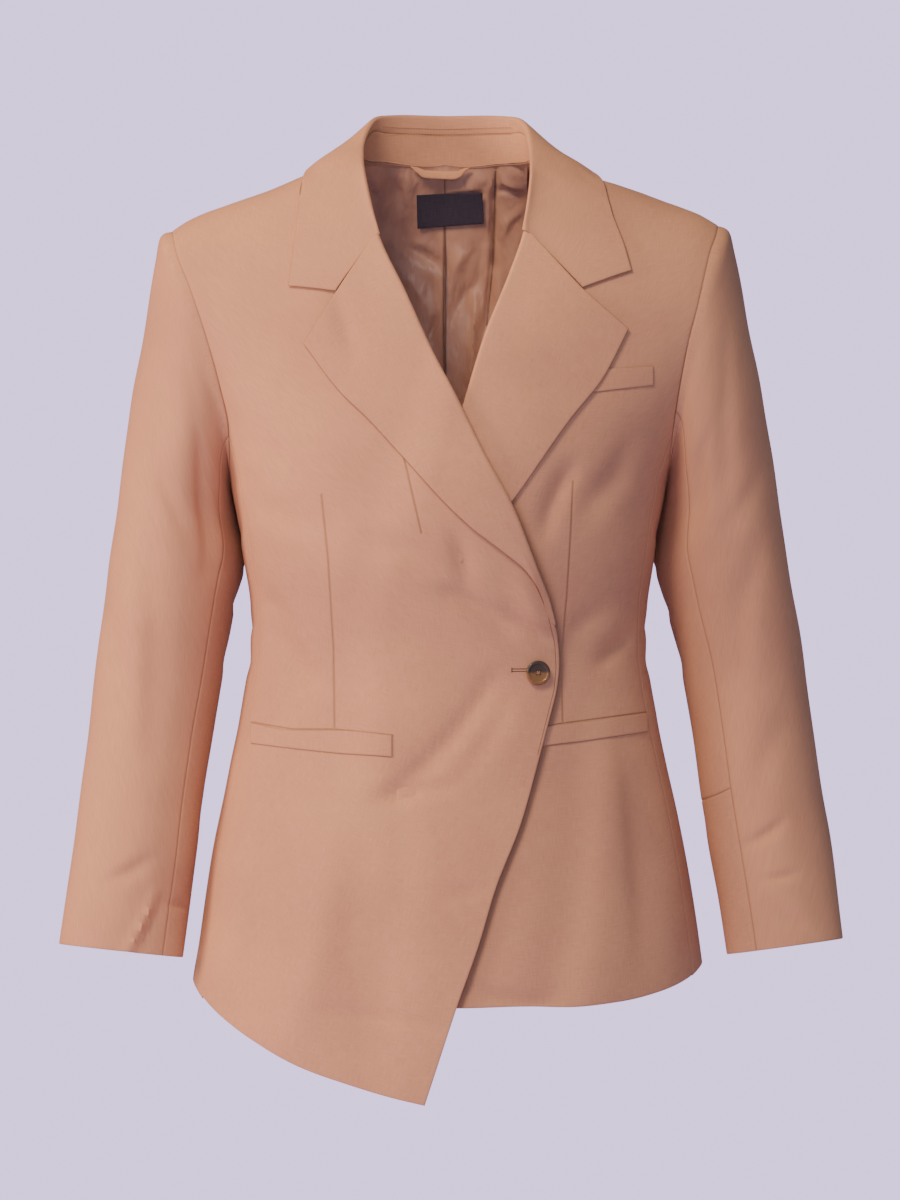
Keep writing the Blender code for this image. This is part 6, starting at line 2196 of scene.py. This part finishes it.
class BLAZER_OT_lapels(bpy.types.Operator):
    """Make the lapels, rolled over and lying on the fronts"""

    bl_idname = "blazer.lapels"
    bl_label = "Lapels"

    def execute(self, context):
        for side, node, front in ((RIGHT, "right_lapel", "right_front_cloth"),
                                  (LEFT, "left_lapel", "left_front_cloth")):
            piece = lapel(side, LAPEL_STEP)
            finish_cloth(piece, node, (suiting(), suiting()))
        return {"FINISHED"}


class BLAZER_OT_collar(bpy.types.Operator):
    """Make the collar and the stand inside it"""

    bl_idname = "blazer.collar"
    bl_label = "Collar"

    def execute(self, context):
        piece = collar(LAPEL_STEP)
        finish_cloth(piece, "collar", (suiting(), suiting()))
        finish_cloth(collar_stand(LAPEL_STEP), "collar_stand", (suiting(), suiting()))
        return {"FINISHED"}


class BLAZER_OT_sleeves(bpy.types.Operator):
    """Make both two-piece sleeves; the left under sleeve is pieced"""

    bl_idname = "blazer.sleeves"
    bl_label = "Sleeves"

    def execute(self, context):
        step = sizes().cloth_step
        back = BACK_SLEEVE_SEAM
        front = RIGHT_FRONT_SLEEVE_SEAM
        left = LEFT_FRONT_SLEEVE_SEAM
        low = PIECING_SEAM + SEAM_CLOSED / SLEEVE_LENGTH
        for name, made in (
            ("right_top_sleeve", (RIGHT, back - 360, front, step)),
            ("right_under_sleeve", (RIGHT, front, back, step)),
            ("left_top_sleeve", (LEFT, back - 360, left, step)),
            ("left_under_sleeve",
             (LEFT, left, back, step, 0.0, PIECING_SEAM, (0.0, PIECING_RISE))),
            ("left_under_sleeve_lower", (LEFT, left, back, step, low, 1.0, (PIECING_RISE, 0.0))),
        ):
            piece = sleeve_piece(name + "_cloth", *made)
            finish_cloth(piece, name, (suiting(), satin()))
        return {"FINISHED"}


class BLAZER_OT_pockets(bpy.types.Operator):
    """Make the welts of the hip pockets and the chest pocket"""

    bl_idname = "blazer.pockets"
    bl_label = "Pocket welts"

    def execute(self, context):
        for node, side, rows, front in (
            ("right_pocket_welt", RIGHT, RIGHT_WELT_ROWS, "right_front_cloth"),
            ("left_pocket_welt", LEFT, LEFT_WELT_ROWS, "left_front_cloth"),
            ("chest_welt", LEFT, CHEST_WELT_ROWS, "left_front_cloth"),
        ):
            piece = welt(node + "_cloth", side, rows, WELT_STEP)
            finish_cloth(piece, node, (suiting(), suiting()))
        return {"FINISHED"}


class BLAZER_OT_lining(bpy.types.Operator):
    """Make the satin lining that shows behind the neck"""

    bl_idname = "blazer.lining"
    bl_label = "Lining"

    def execute(self, context):
        finish_cloth(back_lining(), "back_lining", (satin(), satin()))
        return {"FINISHED"}


class BLAZER_OT_neck_trim(bpy.types.Operator):
    """Make the bare neck label and the hanging loop"""

    bl_idname = "blazer.neck_trim"
    bl_label = "Label and loop"

    def execute(self, context):
        tape = cloth_material("Label tape", colours().label, colours().label, slub=0.5)
        finish_cloth(neck_label(), "neck_label", (tape, tape))
        strip = suiting("Loop suiting", LOOP_LINES)
        finish_cloth(hanging_loop(), "hanging_loop", (strip, strip))
        return {"FINISHED"}


class BLAZER_OT_button(bpy.types.Operator):
    """Turn the horn button and set it on the lap"""

    bl_idname = "blazer.button"
    bl_label = "Button"

    def execute(self, context):
        piece = button(sizes().button_radius, sizes().button_thick)
        piece.data.materials.append(horn_material(colours().horn_dark, colours().horn_amber))
        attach(piece, "root")
        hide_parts("button")
        return {"FINISHED"}


class BLAZER_OT_stitching(bpy.types.Operator):
    """Sew the threads: inside the collar, the buttonhole, the button and the label"""

    bl_idname = "blazer.stitching"
    bl_label = "Stitching"

    def execute(self, context):
        for piece, shade in (
            (collar_stitches(), thread("Dark thread", DARK_THREAD)),
            (buttonhole(), thread("Buttonhole thread", HOLE_THREAD)),
            (button_thread(sizes().button_thick), thread("Pale thread", PALE_THREAD)),
            (label_stitches(), plain_thread("Label thread", colours().label)),
        ):
            piece.data.materials.append(shade)
            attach(piece, "root")
        return {"FINISHED"}


class BLAZER_OT_studio(bpy.types.Operator):
    """Make the floor, the soft light and the camera"""

    bl_idname = "blazer.studio"
    bl_label = "Studio"

    def execute(self, context):
        deselect_all()
        bpy.ops.mesh.primitive_circle_add(
            vertices=96, radius=FLOOR_RADIUS, fill_type="NGON",
            location=(0, 0, sizes().floor_height))
        floor = context.active_object
        floor.name = "studio_floor"
        bpy.ops.object.transform_apply(location=True, rotation=True, scale=True)
        floor.data.materials.append(floor_material(colours().backdrop))
        world = bpy.data.worlds.new("Studio")
        world.use_nodes = True
        tree = world.node_tree
        sky = tree.nodes["Background"]
        set_values(tree, sky, {
            "Color": shaded(colours().backdrop), "Strength": BACKDROP_STRENGTH})
        light = add_node(tree, "ShaderNodeBackground", {
            "Color": shaded(colours().sky_light), "Strength": SKY_STRENGTH})
        path = tree.nodes.new("ShaderNodeLightPath")
        mix = tree.nodes.new("ShaderNodeMixShader")
        for k, shown in enumerate((path.outputs["Is Camera Ray"], light.outputs[0],
                                   sky.outputs[0])):
            tree.links.new(shown, mix.inputs[k])
        tree.links.new(mix.outputs[0], tree.nodes["World Output"].inputs["Surface"])
        context.scene.world = world
        for name, place, size, power, tint in LAMPS:
            bpy.ops.object.light_add(type="AREA", location=place)
            lamp = context.active_object
            lamp.name = name
            lamp.data.shape = "DISK"
            lamp.data.size = size
            lamp.data.energy = power
            lamp.data.color = tint
            aim = Vector(LAMP_AIM) - Vector(place)
            lamp.rotation_euler = aim.to_track_quat("-Z", "Y").to_euler()
        bpy.ops.object.camera_add(location=(CAMERA_AT[0], -CAMERA_AWAY, CAMERA_AT[1]),
                                  rotation=(math.pi / 2, 0, 0))
        camera = context.active_object
        camera.data.sensor_width = SENSOR
        camera.data.lens = SENSOR * (CAMERA_AWAY + FRONT_PLANE) / FRAME_HEIGHT
        camera.data.clip_end = 200
        context.scene.camera = camera
        return {"FINISHED"}


OPERATORS = (
    BLAZER_OT_studio,
    BLAZER_OT_fronts,
    BLAZER_OT_sides,
    BLAZER_OT_backs,
    BLAZER_OT_lapels,
    BLAZER_OT_collar,
    BLAZER_OT_sleeves,
    BLAZER_OT_pockets,
    BLAZER_OT_lining,
    BLAZER_OT_neck_trim,
    BLAZER_OT_button,
    BLAZER_OT_stitching,
)


class BLAZER_PT_pieces(bpy.types.Panel):
    """The blazer's pieces and settings"""

    bl_label = "Wrap blazer"
    bl_idname = "BLAZER_PT_pieces"
    bl_space_type = "VIEW_3D"
    bl_region_type = "UI"
    bl_category = "Blazer"

    def draw(self, context):
        for group in (context.scene.blazer_sizes, context.scene.blazer_colours):
            for name in group.bl_rna.properties.keys():
                if name not in ("rna_type", "name"):
                    self.layout.prop(group, name)
        for kind in OPERATORS:
            self.layout.operator(kind.bl_idname)


def register():
    for kind in (BlazerSizes, BlazerColours) + OPERATORS + (BLAZER_PT_pieces,):
        bpy.utils.register_class(kind)
    bpy.types.Scene.blazer_sizes = bpy.props.PointerProperty(type=BlazerSizes)
    bpy.types.Scene.blazer_colours = bpy.props.PointerProperty(type=BlazerColours)


def unregister():
    del bpy.types.Scene.blazer_colours
    del bpy.types.Scene.blazer_sizes
    for kind in (BLAZER_PT_pieces,) + OPERATORS[::-1] + (BlazerColours, BlazerSizes):
        bpy.utils.unregister_class(kind)


def main():
    register()
    bpy.ops.blazer.studio()
    bpy.ops.blazer.fronts()
    bpy.ops.blazer.sides()
    bpy.ops.blazer.backs()
    bpy.ops.blazer.lapels()
    bpy.ops.blazer.collar()
    bpy.ops.blazer.sleeves()
    bpy.ops.blazer.pockets()
    bpy.ops.blazer.lining()
    bpy.ops.blazer.neck_trim()
    bpy.ops.blazer.button()
    bpy.ops.blazer.stitching()


if __name__ == "__main__":
    main()
